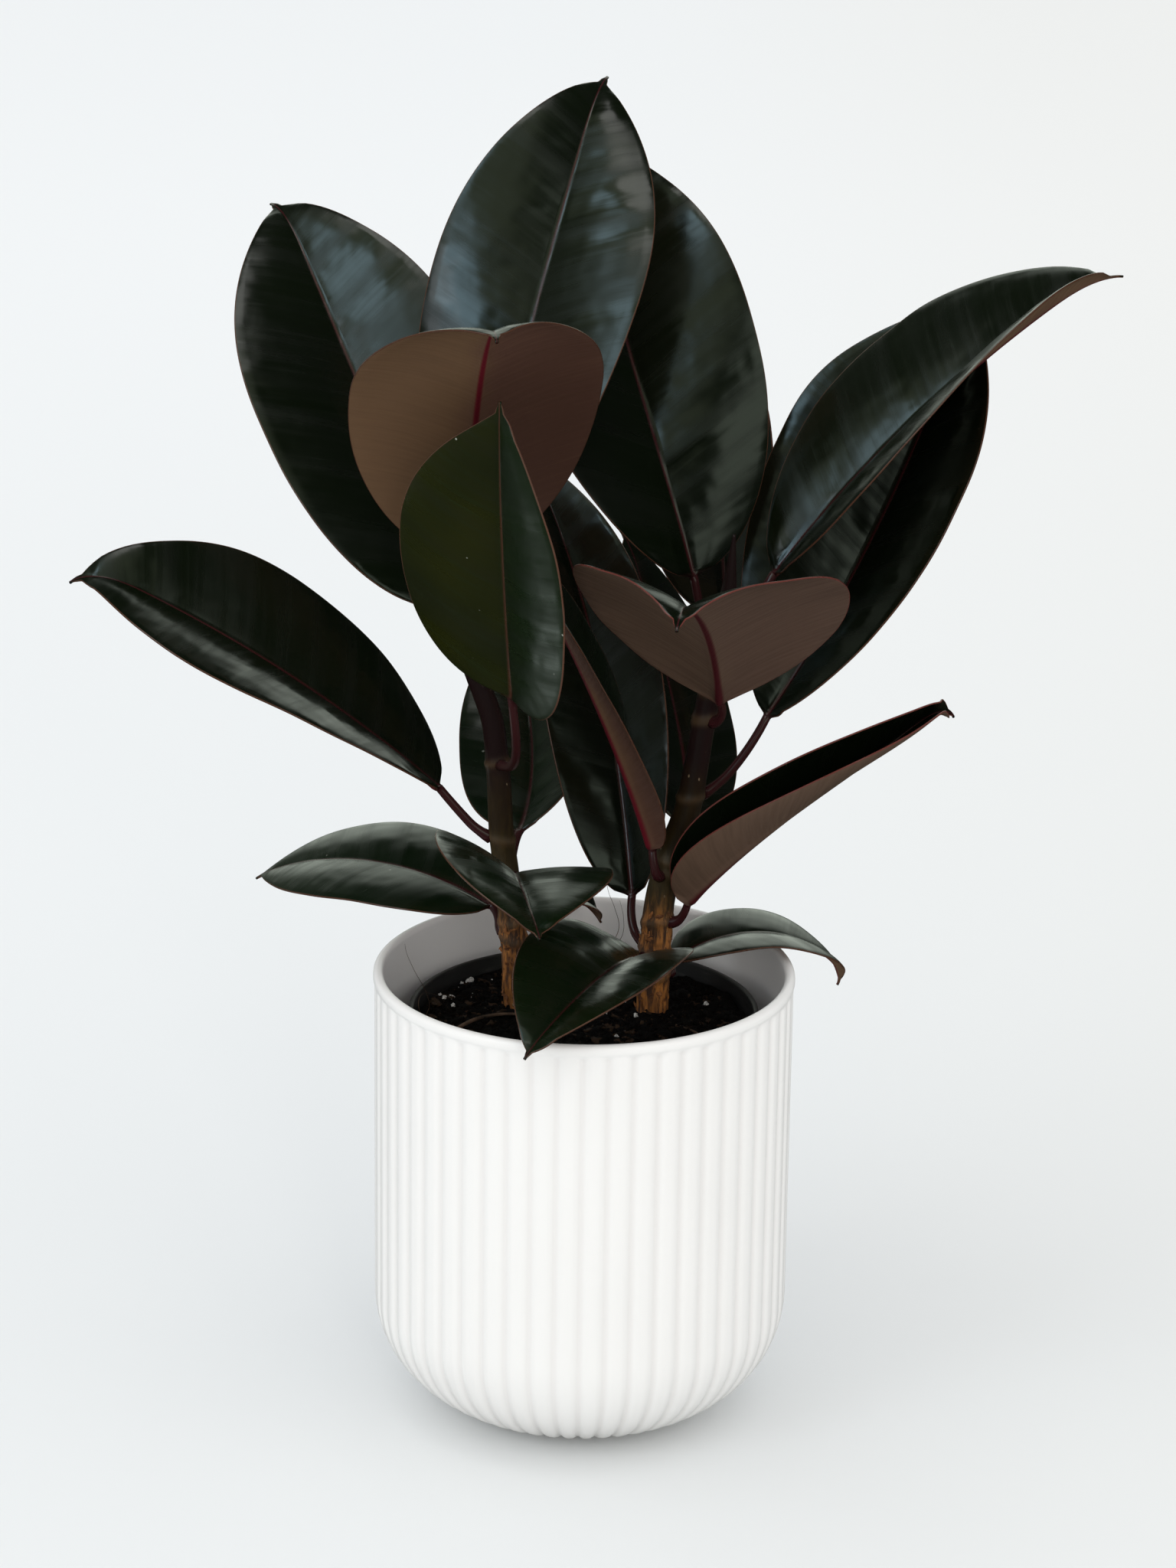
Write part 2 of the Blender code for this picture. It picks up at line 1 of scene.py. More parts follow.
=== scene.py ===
"""Dresses the potted rubber plant: glazed ribbed pot, growing pot, soil, bark and twenty glossy leaves.

Sizes are in millimetres and angles in degrees unless a name says otherwise; meshes are made in metres.
"""
import logging
import math
from collections.abc import Sequence
from dataclasses import dataclass
from enum import Enum

import bmesh
import bpy
import numpy as np
from mathutils import Matrix, Vector, noise

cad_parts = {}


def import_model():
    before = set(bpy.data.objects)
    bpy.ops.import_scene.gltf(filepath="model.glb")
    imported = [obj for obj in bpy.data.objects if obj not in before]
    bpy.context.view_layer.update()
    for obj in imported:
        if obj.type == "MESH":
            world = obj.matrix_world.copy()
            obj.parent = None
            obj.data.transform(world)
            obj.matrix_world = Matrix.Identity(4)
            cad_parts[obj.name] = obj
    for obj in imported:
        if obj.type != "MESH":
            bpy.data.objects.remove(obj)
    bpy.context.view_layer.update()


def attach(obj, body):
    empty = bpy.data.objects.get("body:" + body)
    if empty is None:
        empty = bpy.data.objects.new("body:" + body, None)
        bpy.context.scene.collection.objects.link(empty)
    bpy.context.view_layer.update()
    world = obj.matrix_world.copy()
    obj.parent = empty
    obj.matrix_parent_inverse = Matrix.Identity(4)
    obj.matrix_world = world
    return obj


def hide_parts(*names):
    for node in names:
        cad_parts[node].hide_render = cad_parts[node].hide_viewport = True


MM = 0.001
BODY = "root"
LOG = logging.getLogger("rubber_plant")
Colour = tuple[float, float, float]
Piece = bpy.types.Object
Material = bpy.types.Material
Node = bpy.types.Node
Socket = bpy.types.NodeSocket


def shaded(colour: Colour, share: float) -> Colour:
    """Darken or lighten a colour by a share."""
    return tuple(part * share for part in colour)


class Graph:
    """Adds and joins the nodes of a shader or geometry tree."""

    def __init__(self, tree: bpy.types.NodeTree) -> None:
        """Keep the tree that the nodes go into."""
        self.tree = tree

    def plug(self, socket: Socket, value: object) -> None:
        """Link a socket into an input, or set the input to a plain value."""
        if value is None:
            return
        if isinstance(value, Socket):
            self.tree.links.new(value, socket)
        else:
            socket.default_value = value

    def add(self, kind: str, inputs: dict | None = None, **settings: object) -> Node:
        """Add a node.

        Args:
            kind: The node's type name.
            inputs: Values or sockets by input name or number.
            settings: Properties of the node itself.

        Returns:
            The new node.
        """
        node = self.tree.nodes.new(kind)
        for name, value in settings.items():
            setattr(node, name, value)
        for key, value in (inputs or {}).items():
            self.plug(node.inputs[key], value)
        return node

    def math(self, operation: str, first: object, second: object = None, third: object = None,
             clamp: bool = False) -> Socket:
        """Join up to three numbers by a Math node and return its value."""
        node = self.add("ShaderNodeMath", operation=operation, use_clamp=clamp)
        for place, value in enumerate((first, second, third)):
            self.plug(node.inputs[place], value)
        return node.outputs[0]

    def spread(self, value: object, low: float, high: float, to_low: float = 0.0,
               to_high: float = 1.0) -> Socket:
        """Map a range of a value smoothly on to another range."""
        node = self.add("ShaderNodeMapRange", interpolation_type="SMOOTHSTEP")
        for place, number in enumerate((value, low, high, to_low, to_high)):
            self.plug(node.inputs[place], number)
        return node.outputs[0]

    def mix(self, share: object, first: object, second: object, blend: str = "MIX") -> Socket:
        """Mix two colours by a share."""
        node = self.add("ShaderNodeMix", data_type="RGBA", blend_type=blend)
        self.plug(node.inputs[0], share)
        for place, colour in ((6, first), (7, second)):
            plain = isinstance(colour, tuple) and len(colour) == 3
            self.plug(node.inputs[place], (*colour, 1.0) if plain else colour)
        return node.outputs[2]

    def noise(self, vector: object, scale: float, detail: float = 3.0, roughness: float = 0.55,
              distortion: float = 0.0) -> Socket:
        """Read a noise texture's value at a place."""
        node = self.add("ShaderNodeTexNoise", {"Vector": vector, "Scale": scale, "Detail": detail,
                                               "Roughness": roughness, "Distortion": distortion})
        return node.outputs["Fac"]

    def attribute(self, name: str) -> Socket:
        """Read one of the piece's own attributes."""
        return self.add("ShaderNodeAttribute", attribute_name=name).outputs["Fac"]

    def scaled(self, vector: object, scale: Sequence[float]) -> Socket:
        """Stretch a place by a scale on each axis."""
        return self.add("ShaderNodeMapping", {"Vector": vector, "Scale": tuple(scale)}).outputs[0]


@dataclass(frozen=True)
class Finish:
    """What every finish has: a name, its plain colour, roughness and gloss."""

    name: str
    colour: Colour
    roughness: float
    specular: float = 0.5

    def build(self) -> Material:
        """Make the material, with its pattern nodes.

        Returns:
            The finished material.
        """
        material = bpy.data.materials.new(self.name)
        material.use_nodes = True
        material.diffuse_color = (*self.colour, 1.0)
        graph = Graph(material.node_tree)
        shader = material.node_tree.nodes["Principled BSDF"]
        shader.inputs["Base Color"].default_value = (*self.colour, 1.0)
        shader.inputs["Roughness"].default_value = self.roughness
        shader.inputs["Specular IOR Level"].default_value = self.specular
        self.pattern(graph, shader, graph.add("ShaderNodeTexCoord").outputs["Object"])
        return material

    def pattern(self, graph: Graph, shader: Node, place: Socket) -> None:
        """Add the finish's own colour, roughness and bump nodes."""

    @staticmethod
    def bump(graph: Graph, shader: Node, height: object, depth: float,
             strength: float = 1.0) -> None:
        """Give the shader a bump of a depth in metres."""
        node = graph.add("ShaderNodeBump", {"Height": height, "Distance": depth, "Strength": strength})
        graph.plug(shader.inputs["Normal"], node.outputs[0])


@dataclass(frozen=True)
class GlazeFinish(Finish):
    """Satin white glaze with faint clouds, and painted shade that tints the grooves warm grey."""

    groove_shade_colour: Colour = (0.7, 0.66, 0.64)
    groove_shade_share: float = 0.2
    cloud_shade: float = 0.985

    def pattern(self, graph: Graph, shader: Node, place: Socket) -> None:
        """Cloud the white and paint shade into the grooves."""
        groove = graph.attribute("groove")
        tone = graph.mix(graph.spread(graph.noise(place, 22.0, 2.0), 0.3, 0.75), self.colour,
                         shaded(self.colour, self.cloud_shade))
        # painted shade: the grooves are tinted darker and warmer where shade falls between the ribs
        deep = graph.math("MULTIPLY", graph.spread(groove, 0.35, 1.0), self.groove_shade_share)
        graph.plug(shader.inputs["Base Color"], graph.mix(deep, tone, self.groove_shade_colour))


@dataclass(frozen=True)
class PlasticFinish(Finish):
    """Moulded black plastic with a fine grain, scuffs and a little dust."""

    dust: Colour = (0.06, 0.055, 0.05)

    def pattern(self, graph: Graph, shader: Node, place: Socket) -> None:
        """Grain the plastic and dust it in patches."""
        scuff = graph.noise(graph.scaled(place, (1.0, 1.0, 6.0)), 90.0, 5.0, 0.7)
        dusty = graph.spread(scuff, 0.5, 0.8, 0.0, 0.6)
        graph.plug(shader.inputs["Base Color"], graph.mix(dusty, self.colour, self.dust))
        graph.plug(shader.inputs["Roughness"], graph.spread(scuff, 0.3, 0.7, 0.36, 0.55))
        self.bump(graph, shader, graph.noise(place, 1800.0, 2.0), 0.00004)


@dataclass(frozen=True)
class SoilFinish(Finish):
    """Moist peat and bark: near black with brown fibres and grains."""

    fibre: Colour = (0.05, 0.028, 0.016)
    damp: Colour = (0.006, 0.005, 0.005)

    def pattern(self, graph: Graph, shader: Node, place: Socket) -> None:
        """Speckle the peat and roughen it at two scales."""
        grain = graph.noise(place, 420.0, 6.0, 0.7)
        patch = graph.noise(place, 45.0, 3.0)
        tone = graph.mix(graph.spread(patch, 0.35, 0.65), self.damp, self.colour)
        tone = graph.mix(graph.spread(grain, 0.56, 0.72), tone, self.fibre)
        graph.plug(shader.inputs["Base Color"], tone)
        height = graph.math("ADD", grain, graph.noise(place, 1500.0, 3.0, 0.8))
        self.bump(graph, shader, height, 0.0012)


@dataclass(frozen=True)
class PerliteFinish(Finish):
    """Porous expanded perlite, white, with painted shade in its pits."""

    pit_shade: Colour = (0.3, 0.29, 0.27)

    def pattern(self, graph: Graph, shader: Node, place: Socket) -> None:
        """Pit the grains and paint shade into the pits."""
        pits = graph.noise(place, 1600.0, 3.0, 0.6)
        # painted shade: the low places of the bump are tinted grey
        tone = graph.mix(graph.spread(pits, 0.35, 0.6), self.pit_shade, self.colour)
        graph.plug(shader.inputs["Base Color"], tone)
        self.bump(graph, shader, pits, 0.0004)


@dataclass(frozen=True)
class FibreFinish(Finish):
    """Dry root hair, twig or bark chip, in two browns."""

    shade: Colour = (0.03, 0.018, 0.01)

    def pattern(self, graph: Graph, shader: Node, place: Socket) -> None:
        """Vary the brown from piece to piece and along each."""
        tone = graph.spread(graph.noise(place, 160.0, 4.0), 0.35, 0.68)
        graph.plug(shader.inputs["Base Color"], graph.mix(tone, self.shade, self.colour))
        self.bump(graph, shader, graph.noise(place, 1400.0, 3.0), 0.0003)


@dataclass(frozen=True)
class BarkFinish(Finish):
    """Young stem: orange brown and cracked low down, olive above, dark purple near its bud."""

    low: Colour = (0.42, 0.16, 0.035)
    crack: Colour = (0.05, 0.022, 0.012)
    young: Colour = (0.014, 0.006, 0.006)
    pore: Colour = (0.35, 0.26, 0.16)
    scar: Colour = (0.085, 0.052, 0.026)
    bark_top: float = 0.182
    young_from: float = 0.222

    def pattern(self, graph: Graph, shader: Node, place: Socket) -> None:
        """Change the bark with height and mark its pores, streaks and leaf scars."""
        height = graph.add("ShaderNodeSeparateXYZ", {0: place}).outputs[2]
        ragged = graph.math("MULTIPLY_ADD", graph.noise(place, 90.0, 3.0), 0.03,
                            graph.math("ADD", height, -0.015))
        streaks = graph.noise(graph.scaled(place, (1.0, 1.0, 0.16)), 520.0, 5.0, 0.65)
        old = graph.mix(graph.spread(streaks, 0.4, 0.62), self.crack, self.low)
        blotch = graph.noise(place, 130.0, 4.0)
        old = graph.mix(graph.spread(blotch, 0.5, 0.7, 0.0, 0.8), old, shaded(self.low, 0.45))
        olive = graph.mix(graph.spread(streaks, 0.35, 0.7), shaded(self.colour, 0.6), self.colour)
        tone = graph.mix(graph.spread(ragged, self.bark_top - 0.012, self.bark_top + 0.012), old, olive)
        tone = graph.mix(graph.spread(ragged, self.young_from - 0.02, self.young_from + 0.025), tone,
                         self.young)
        pores = graph.add("ShaderNodeTexVoronoi", {"Vector": graph.scaled(place, (1.0, 1.0, 0.6)),
                                                   "Scale": 330.0}).outputs["Distance"]
        dots = graph.math("MULTIPLY", graph.spread(pores, 0.16, 0.08),
                          graph.spread(graph.noise(place, 240.0), 0.5, 0.6, 0.0, 0.55))
        tone = graph.mix(dots, tone, self.pore)
        tone = graph.mix(graph.math("MULTIPLY", graph.attribute("scar"), 0.6), tone, self.scar)
        graph.plug(shader.inputs["Base Color"], tone)
        graph.plug(shader.inputs["Roughness"], graph.spread(height, self.bark_top, self.young_from + 0.03,
                                                            self.roughness + 0.2, 0.34))
        rough = graph.math("MULTIPLY_ADD", dots, 0.6, streaks)
        deep = graph.spread(height, self.bark_top - 0.01, self.young_from, 1.0, 0.12)
        self.bump(graph, shader, graph.math("MULTIPLY", rough, deep), 0.0011)


@dataclass(frozen=True)
class BladeMarks:
    """Colours that both faces of a leaf share: its thin margin and its petiole."""

    margin: Colour = (0.07, 0.03, 0.018)
    petiole: Colour = (0.034, 0.008, 0.009)


class BladePlaces:
    """Reads a blade's own attributes and lays out the places that follow its side veins."""

    def __init__(self, graph: Graph, lean: float) -> None:
        """Read the attributes and lean the vein coordinate towards the tip."""
        self.across, self.along = graph.attribute("across"), graph.attribute("along")
        self.rib, self.edge, self.stalk = (graph.attribute(name) for name in ("rib", "edge", "stalk"))
        self.vein = graph.math("MULTIPLY_ADD", graph.math("ABSOLUTE", self.across), -lean, self.along)
        self.streaked = graph.add("ShaderNodeCombineXYZ", {
            0: self.vein, 1: graph.math("MULTIPLY", self.across, 0.07),
            2: graph.math("SIGN", self.across)}).outputs[0]


@dataclass(frozen=True)
class BladeFinish(Finish):
    """What the finishes of both faces share: midrib, margin, petiole and the lean of the side veins."""

    marks: BladeMarks = BladeMarks()
    rib: Colour = (0.04, 0.006, 0.008)
    vein_lean: float = 0.42

    def marked(self, graph: Graph, blade: BladePlaces, tone: object,
               rib_share: object) -> Socket:
        """Lay the midrib, the thin margin and the petiole over the blade's tone."""
        tone = graph.mix(rib_share, tone, self.rib)
        tone = graph.mix(graph.spread(blade.edge, 0.25, 0.75), tone, self.marks.margin)
        return graph.mix(blade.stalk, tone, self.marks.petiole)


@dataclass(frozen=True)
class UpperFinish(BladeFinish):
    """Upper face of a rubber plant leaf: deep green under a gloss that breaks along the side veins."""

    painted_light_half: Colour = (0.0028, 0.005, 0.0018)
    speck: Colour = (0.5, 0.52, 0.45)
    specks: float = 0.0
    relief_depth: float = 0.00026

    def pattern(self, graph: Graph, shader: Node, place: Socket) -> None:
        """Colour the blade, its midrib and margin, paint light on one half, and brush the gloss along the side
        veins.
        """
        blade = BladePlaces(graph, self.vein_lean)
        streaks = graph.noise(blade.streaked, 420.0, 4.0, 0.6)
        broad = graph.noise(blade.streaked, 75.0, 2.0, 0.5)
        cloud = graph.noise(place, 18.0, 2.0)
        # painted light: the other half of the blade can take a lighter colour for the light that falls on it
        tone = graph.mix(graph.spread(blade.across, -0.003, 0.003), self.colour, self.painted_light_half)
        tone = graph.mix(graph.spread(cloud, 0.3, 0.75, 0.0, 0.5), tone, shaded(self.colour, 0.6))
        tone = graph.mix(graph.spread(streaks, 0.5, 0.8, 0.0, 0.3), tone, shaded(self.colour, 1.8))
        dots = graph.add("ShaderNodeTexVoronoi", {"Vector": place, "Scale": 150.0}).outputs["Distance"]
        rare = graph.spread(graph.noise(place, 60.0, 1.0), 0.55, 0.62, 0.0, self.specks)
        tone = graph.mix(graph.math("MULTIPLY", graph.spread(dots, 0.09, 0.045), rare), tone, self.speck)
        tone = self.marked(graph, blade, tone, graph.spread(blade.rib, 0.5, 1.0, 0.0, 0.9))
        graph.plug(shader.inputs["Base Color"], tone)

        wiped = graph.spread(broad, 0.35, 0.68, self.roughness - 0.04, self.roughness + 0.14)
        gloss = graph.math("MULTIPLY_ADD", graph.spread(streaks, 0.4, 0.75), 0.08, wiped)
        graph.plug(shader.inputs["Roughness"], gloss)
        relief = graph.math("MULTIPLY_ADD", broad, 3.0, graph.math("MULTIPLY", streaks, 0.15))
        relief = graph.math("MULTIPLY_ADD", graph.noise(place, 40.0, 2.0), 7.0, relief)
        relief = graph.math("MULTIPLY", relief, graph.math("SUBTRACT", 1.0, blade.stalk))
        self.bump(graph, shader, relief, self.relief_depth, 0.7)


@dataclass(frozen=True)
class UnderFinish(BladeFinish):
    """Underside of a leaf: matt brown, one half darker by painted shade, with fine lines across it and a
    crimson midrib.
    """

    rib: Colour = (0.1, 0.006, 0.012)
    painted_shade_half: Colour = (0.088, 0.043, 0.03)
    lined: float = 0.16

    def pattern(self, graph: Graph, shader: Node, place: Socket) -> None:
        """Paint shade on one half of the brown and draw its fine lines, midrib and margin."""
        blade = BladePlaces(graph, self.vein_lean)
        lines = graph.noise(blade.streaked, 520.0, 3.0, 0.6)
        side = graph.math("MULTIPLY_ADD", blade.across, 40.0, graph.noise(place, 30.0, 3.0))
        # painted shade: the half past the midrib is darkened, with a ragged border
        tone = graph.mix(graph.spread(side, 0.2, 0.8), self.colour, self.painted_shade_half)
        for full_at, shade in ((0.7, 0.6), (0.3, 1.3)):
            tone = graph.mix(graph.spread(lines, 0.45, full_at, 0.0, self.lined), tone,
                             shaded(self.colour, shade))
        tone = self.marked(graph, blade, tone, graph.spread(blade.rib, 0.3, 0.75))
        graph.plug(shader.inputs["Base Color"], tone)
        graph.plug(shader.inputs["Roughness"], graph.spread(lines, 0.35, 0.7, self.roughness - 0.04,
                                                            self.roughness + 0.08))
        self.bump(graph, shader, lines, 0.00015, 0.5)


GLAZE = GlazeFinish("satin_white_glaze", (0.9, 0.893, 0.88), 0.34)
PLASTIC = PlasticFinish("growing_pot_plastic", (0.012, 0.012, 0.012), 0.42)
PEAT = SoilFinish("peat_and_bark_mix", (0.0055, 0.0042, 0.0035), 0.92, 0.1)
PERLITE = PerliteFinish("perlite", (0.7, 0.69, 0.66), 0.85, 0.3)
CHIP = FibreFinish("bark_chip", (0.04, 0.021, 0.011), 0.85, 0.2)
HAIR = FibreFinish("dry_root_hair", (0.11, 0.065, 0.04), 0.7, 0.3)
BARK = BarkFinish("stem_bark", (0.045, 0.028, 0.006), 0.42, 0.35)
FLAKE = FibreFinish("bark_flake", (0.36, 0.14, 0.04), 0.8, 0.3, shade=(0.09, 0.035, 0.014))
RED_MARGIN = BladeMarks(margin=(0.13, 0.035, 0.028))


class LeafTone(Enum):
    """The finishes of a leaf's upper and lower faces, by the age and light of the leaf."""

    DARK = (UpperFinish("leaf_dark", (0.0028, 0.005, 0.0018), 0.18),
            UnderFinish("leaf_dark_under", (0.12, 0.068, 0.036), 0.5, 0.12))
    # painted light: the olive leaf's other half is lighter and yellower than the first
    OLIVE = (UpperFinish("leaf_olive", (0.007, 0.0155, 0.0045), 0.28, 0.35,
                         BladeMarks(margin=(0.1, 0.045, 0.028)), rib=(0.06, 0.02, 0.01),
                         painted_light_half=(0.0165, 0.0185, 0.002), specks=0.8),
             UnderFinish("leaf_olive_under", (0.12, 0.068, 0.036), 0.5, 0.12))
    GREEN = (UpperFinish("leaf_green", (0.003, 0.0085, 0.0022), 0.2,
                         painted_light_half=(0.003, 0.0085, 0.0022), specks=0.3),
             UnderFinish("leaf_green_under", (0.12, 0.07, 0.038), 0.5, 0.12))
    PALE_UNDER = (UpperFinish("leaf_dark_above", (0.0028, 0.005, 0.0018), 0.18, marks=RED_MARGIN),
                  UnderFinish("leaf_pale_under", (0.1, 0.062, 0.042), 0.5, 0.1, marks=RED_MARGIN,
                              painted_shade_half=(0.095, 0.056, 0.04), rib=(0.06, 0.008, 0.011), lined=0.3))


FINISHES: dict[LeafTone, list[Material]] = {}


@dataclass(frozen=True)
class StemSpec:
    """A bare stem: its name, centre line points, radii by height and the top of its flaky bark."""

    name: str
    path: tuple
    radii: tuple
    bark_top: float

    def centre(self, height: float) -> np.ndarray:
        """Point of the centre line at a height."""
        knots = [point[2] for point in self.path]
        return np.array([smooth_value(knots, [p[0] for p in self.path], height),
                         smooth_value(knots, [p[1] for p in self.path], height), height])

    def radius(self, height: float) -> float:
        """Radius at a height, without the node rings."""
        return float(np.interp(height, [r[0] for r in self.radii], [r[1] for r in self.radii]))


@dataclass(frozen=True)
class LeafSpec:
    """One leaf: a petiole and a blade that bend from one heading and rise to another.

    Attributes:
        name: Its node in the CAD.
        stem: The stem it grows on.
        height: Height of its foot on the stem.
        heading: Headings at the stem, the blade's foot and the tip, from +X towards +Y.
        rise: Rises above level at the same places.
        petiole: Length of the petiole.
        length: Length of the blade.
        width: Largest width of the blade.
        roll: Turn about its own line at the blade's foot and tip.
        fold: How far the two halves are folded up.
        curl: Further bend of each half on its way to the margin.
        widest: Share of the length where the blade is widest.
        hook: Extra rise of the tip.
        petiole_radius: Radius of the petiole.
        tone: Its finishes.
        wave: Height of the ripples at the margin.
        arch: Height of each half's arch, as a share of its width.
    """

    name: str
    stem: str
    height: float
    heading: tuple
    rise: tuple
    petiole: float
    length: float
    width: float
    roll: tuple
    fold: tuple
    curl: float = 0.0
    widest: float = 0.47
    hook: float = 0.0
    petiole_radius: float = 1.5
    tone: LeafTone = LeafTone.DARK
    wave: float = 0.6
    arch: float = 0.05


STEMS = (
    StemSpec("stem_left",
             ((-24, 12, 115), (-24, 12, 145), (-25, 12, 168), (-27.5, 11, 192), (-30, 10, 213),
              (-31.5, 8, 239), (-34, 6, 258), (-39, 5, 272), (-44, 4, 286), (-48, 3.5, 301)),
             ((115, 5.2), (168, 4.8), (239, 4.2), (286, 3.4), (292, 2.6), (301, 0.5)), 178),
    StemSpec("stem_right",
             ((24.5, 12, 115), (24.5, 12, 145), (25.5, 12, 173), (27.5, 12, 193), (31, 12, 207),
              (35.5, 12, 221), (38.5, 12, 238), (40.5, 12, 252), (42.5, 12, 265), (45, 12, 281),
              (48, 12, 298), (50, 12, 323)),
             ((115, 6.2), (173, 5.6), (193, 5.3), (238, 4.4), (281, 3.8), (298, 3.3), (323, 0.5)), 184),
)

LEAVES = (
    LeafSpec("leaf_top_left", "stem_left", 285, (126, 129, 120), (50, 53, 42), 14, 176, 84, (-21, -20),
             (15, 16), 1, 0.49, -50),
    LeafSpec("leaf_top_middle", "stem_left", 282, (67, 52, 72), (67, 76, 45), 31, 190, 79, (-8, 23),
             (11, 11), -1, 0.5, -42),
    LeafSpec("leaf_top_front", "stem_left", 284, (-80, -85, -83), (86, 66, 22), 34, 166, 85, (3, 2),
             (9, 7), -3, 0.51, -48),
    LeafSpec("leaf_olive_front", "stem_left", 240, (-70, -100, -90), (10, 70, 66), 62, 124, 80, (150, 150),
             (9, 25), -3, 0.42, 30, tone=LeafTone.OLIVE),
    LeafSpec("leaf_far_left", "stem_left", 211, (185, 181, 175), (38, 42, 22), 29, 155, 72, (-8, -33),
             (17, 18), 1, 0.51, -62),
    LeafSpec("leaf_low_left", "stem_left", 173, (141, 148, 148), (69, 19, -31), 14, 110, 54, (-11, -17),
             (3, 3), -4, 0.48, -6, tone=LeafTone.GREEN),
    LeafSpec("leaf_low_front", "stem_left", 188, (-73, -90, -76), (59, 26, -16), 21, 86, 65, (-16, -6),
             (16, 17), 0, 0.46, -14, tone=LeafTone.GREEN),
    LeafSpec("leaf_withered", "stem_left", 180, (55, 30, 34), (30, 12, -65), 12, 34, 22, (16, 24),
             (20, 20), 1, petiole_radius=1.0),
    LeafSpec("leaf_low_back", "stem_left", 188, (90, 78, 112), (51, 12, 47), 31, 115, 54, (-16, -23),
             (17, 18), tone=LeafTone.GREEN),
    LeafSpec("leaf_upper_back", "stem_right", 272, (109, 136, 89), (67, 68, 32), 35, 180, 90, (-8, -19),
             (16, 17), 0, 0.5, -55),
    LeafSpec("leaf_rear", "stem_right", 267, (67, 92, 99), (18, 36, 28), 37, 149, 56, (-25, -25),
             (19, 20), 6, 0.47, -5),
    LeafSpec("leaf_top_right", "stem_right", 257, (18, 14, 17), (77, 52, 29), 56, 166, 80, (14, -12),
             (24, 22), -1, 0.58, -39),
    LeafSpec("leaf_tall_right", "stem_right", 227, (14, 32, 39), (35, 49, 69), 39, 171, 92, (21, 16),
             (29, 30), 3, 0.58, -17),
    LeafSpec("leaf_broad_front", "stem_right", 255, (-44, -94, -100), (38, 38, 18), 18, 173, 98, (1, 1),
             (19, 21), 2, 0.48, -60, tone=LeafTone.PALE_UNDER),
    LeafSpec("leaf_right_trough", "stem_right", 180, (-30, -29, 47), (22, 50, 22), 15, 129, 53, (40, 62),
             (56, 70), 30, 0.47, -80, tone=LeafTone.PALE_UNDER),
    LeafSpec("leaf_folded", "stem_right", 198, (243, 194, 161), (40, 73, 58), 13, 126, 39, (3, 0),
             (23, 22), -4, 0.43, 5),
    LeafSpec("leaf_upright_back", "stem_right", 204, (50, 90, 121), (6, 23, 57), 21, 136, 44, (12, 10),
             (6, 4), -4, 0.47, -34),
    LeafSpec("leaf_middle_back", "stem_right", 169, (130, 102, 120), (12, 64, 36), 24, 185, 50, (-30, -7),
             (22, 22), 12, 0.47, -15),
    LeafSpec("leaf_lowest_front", "stem_right", 162, (-117, -105, -124), (50, 20, -24), 15, 103, 57,
             (-5, -4), (20, 22), 2, 0.46, -10, tone=LeafTone.GREEN),
    LeafSpec("leaf_lowest_right", "stem_right", 159, (9, 18, 22), (40, 31, -58), 9, 79, 42, (-1, 4),
             (6, 7), -3, 0.47, -70, petiole_radius=1.2),
)


def smooth_value(knots: Sequence[float], values: Sequence[float], at: float) -> float:
    """Read a smooth curve through knots, with each knot's slope taken from its neighbours.

    Args:
        knots: Rising places of the knots.
        values: Values at the knots.
        at: Place to read.

    Returns:
        The curve's value there.
    """
    slopes = np.gradient(values, knots)
    i = int(np.clip(np.searchsorted(knots, at) - 1, 0, len(knots) - 2))
    span = knots[i + 1] - knots[i]
    t = (at - knots[i]) / span
    here = (1 + 2 * t) * (1 - t) ** 2 * values[i] + t * (1 - t) ** 2 * span * slopes[i]
    there = t * t * (3 - 2 * t) * values[i + 1] + t * t * (t - 1) * span * slopes[i + 1]
    return float(here + there)


def mesh_piece(name: str, points: np.ndarray, faces: list, finish: Material,
               attributes: dict[str, np.ndarray] | None = None) -> Piece:
    """Make a smooth mesh object at the origin.

    Args:
        name: The object's name.
        points: Corners, in millimetres.
        faces: Lists of corner numbers, facing outwards.
        finish: Its material.
        attributes: Number for each corner, by attribute name.

    Returns:
        The new object, in the scene.
    """
    mesh = bpy.data.meshes.new(name)
    mesh.from_pydata((np.asarray(points) * MM).tolist(), [], faces)
    for key, values in (attributes or {}).items():
        layer = mesh.attributes.new(key, "FLOAT", "POINT")
        layer.data.foreach_set("value", np.asarray(values, dtype=np.float32))
    mesh.materials.append(finish)
    mesh.shade_smooth()
    piece = bpy.data.objects.new(name, mesh)
    bpy.context.scene.collection.objects.link(piece)
    return piece


def unit_rows(rows: np.ndarray) -> np.ndarray:
    """Scale each row to length 1."""
    return rows / np.linalg.norm(rows, axis=1, keepdims=True)


def tube_faces(rows: int, around: int, capped: bool = True) -> list[list[int]]:
    """Join rings of points, numbered ring by ring, into a tube.

    Args:
        rows: Number of rings.
        around: Points on each ring.
        capped: Whether to close both ends.

    Returns:
        The faces, as corner numbers.
    """
    faces = []
    for row in range(rows - 1):
        for i in range(around):
            a, b = row * around + i, row * around + (i + 1) % around
            faces.append([a, b, b + around, a + around])
    if capped:
        faces.append(list(range(around))[::-1])
        faces.append([(rows - 1) * around + i for i in range(around)])
    return faces


def dress(piece: Piece, slot: str, *nodes: str) -> None:
    """Let a piece ride on the plant and stand for its nodes."""
    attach(piece, BODY)
    if nodes:
        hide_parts(*nodes)
    LOG.info("%s: %d faces", piece.name, len(piece.data.polygons))


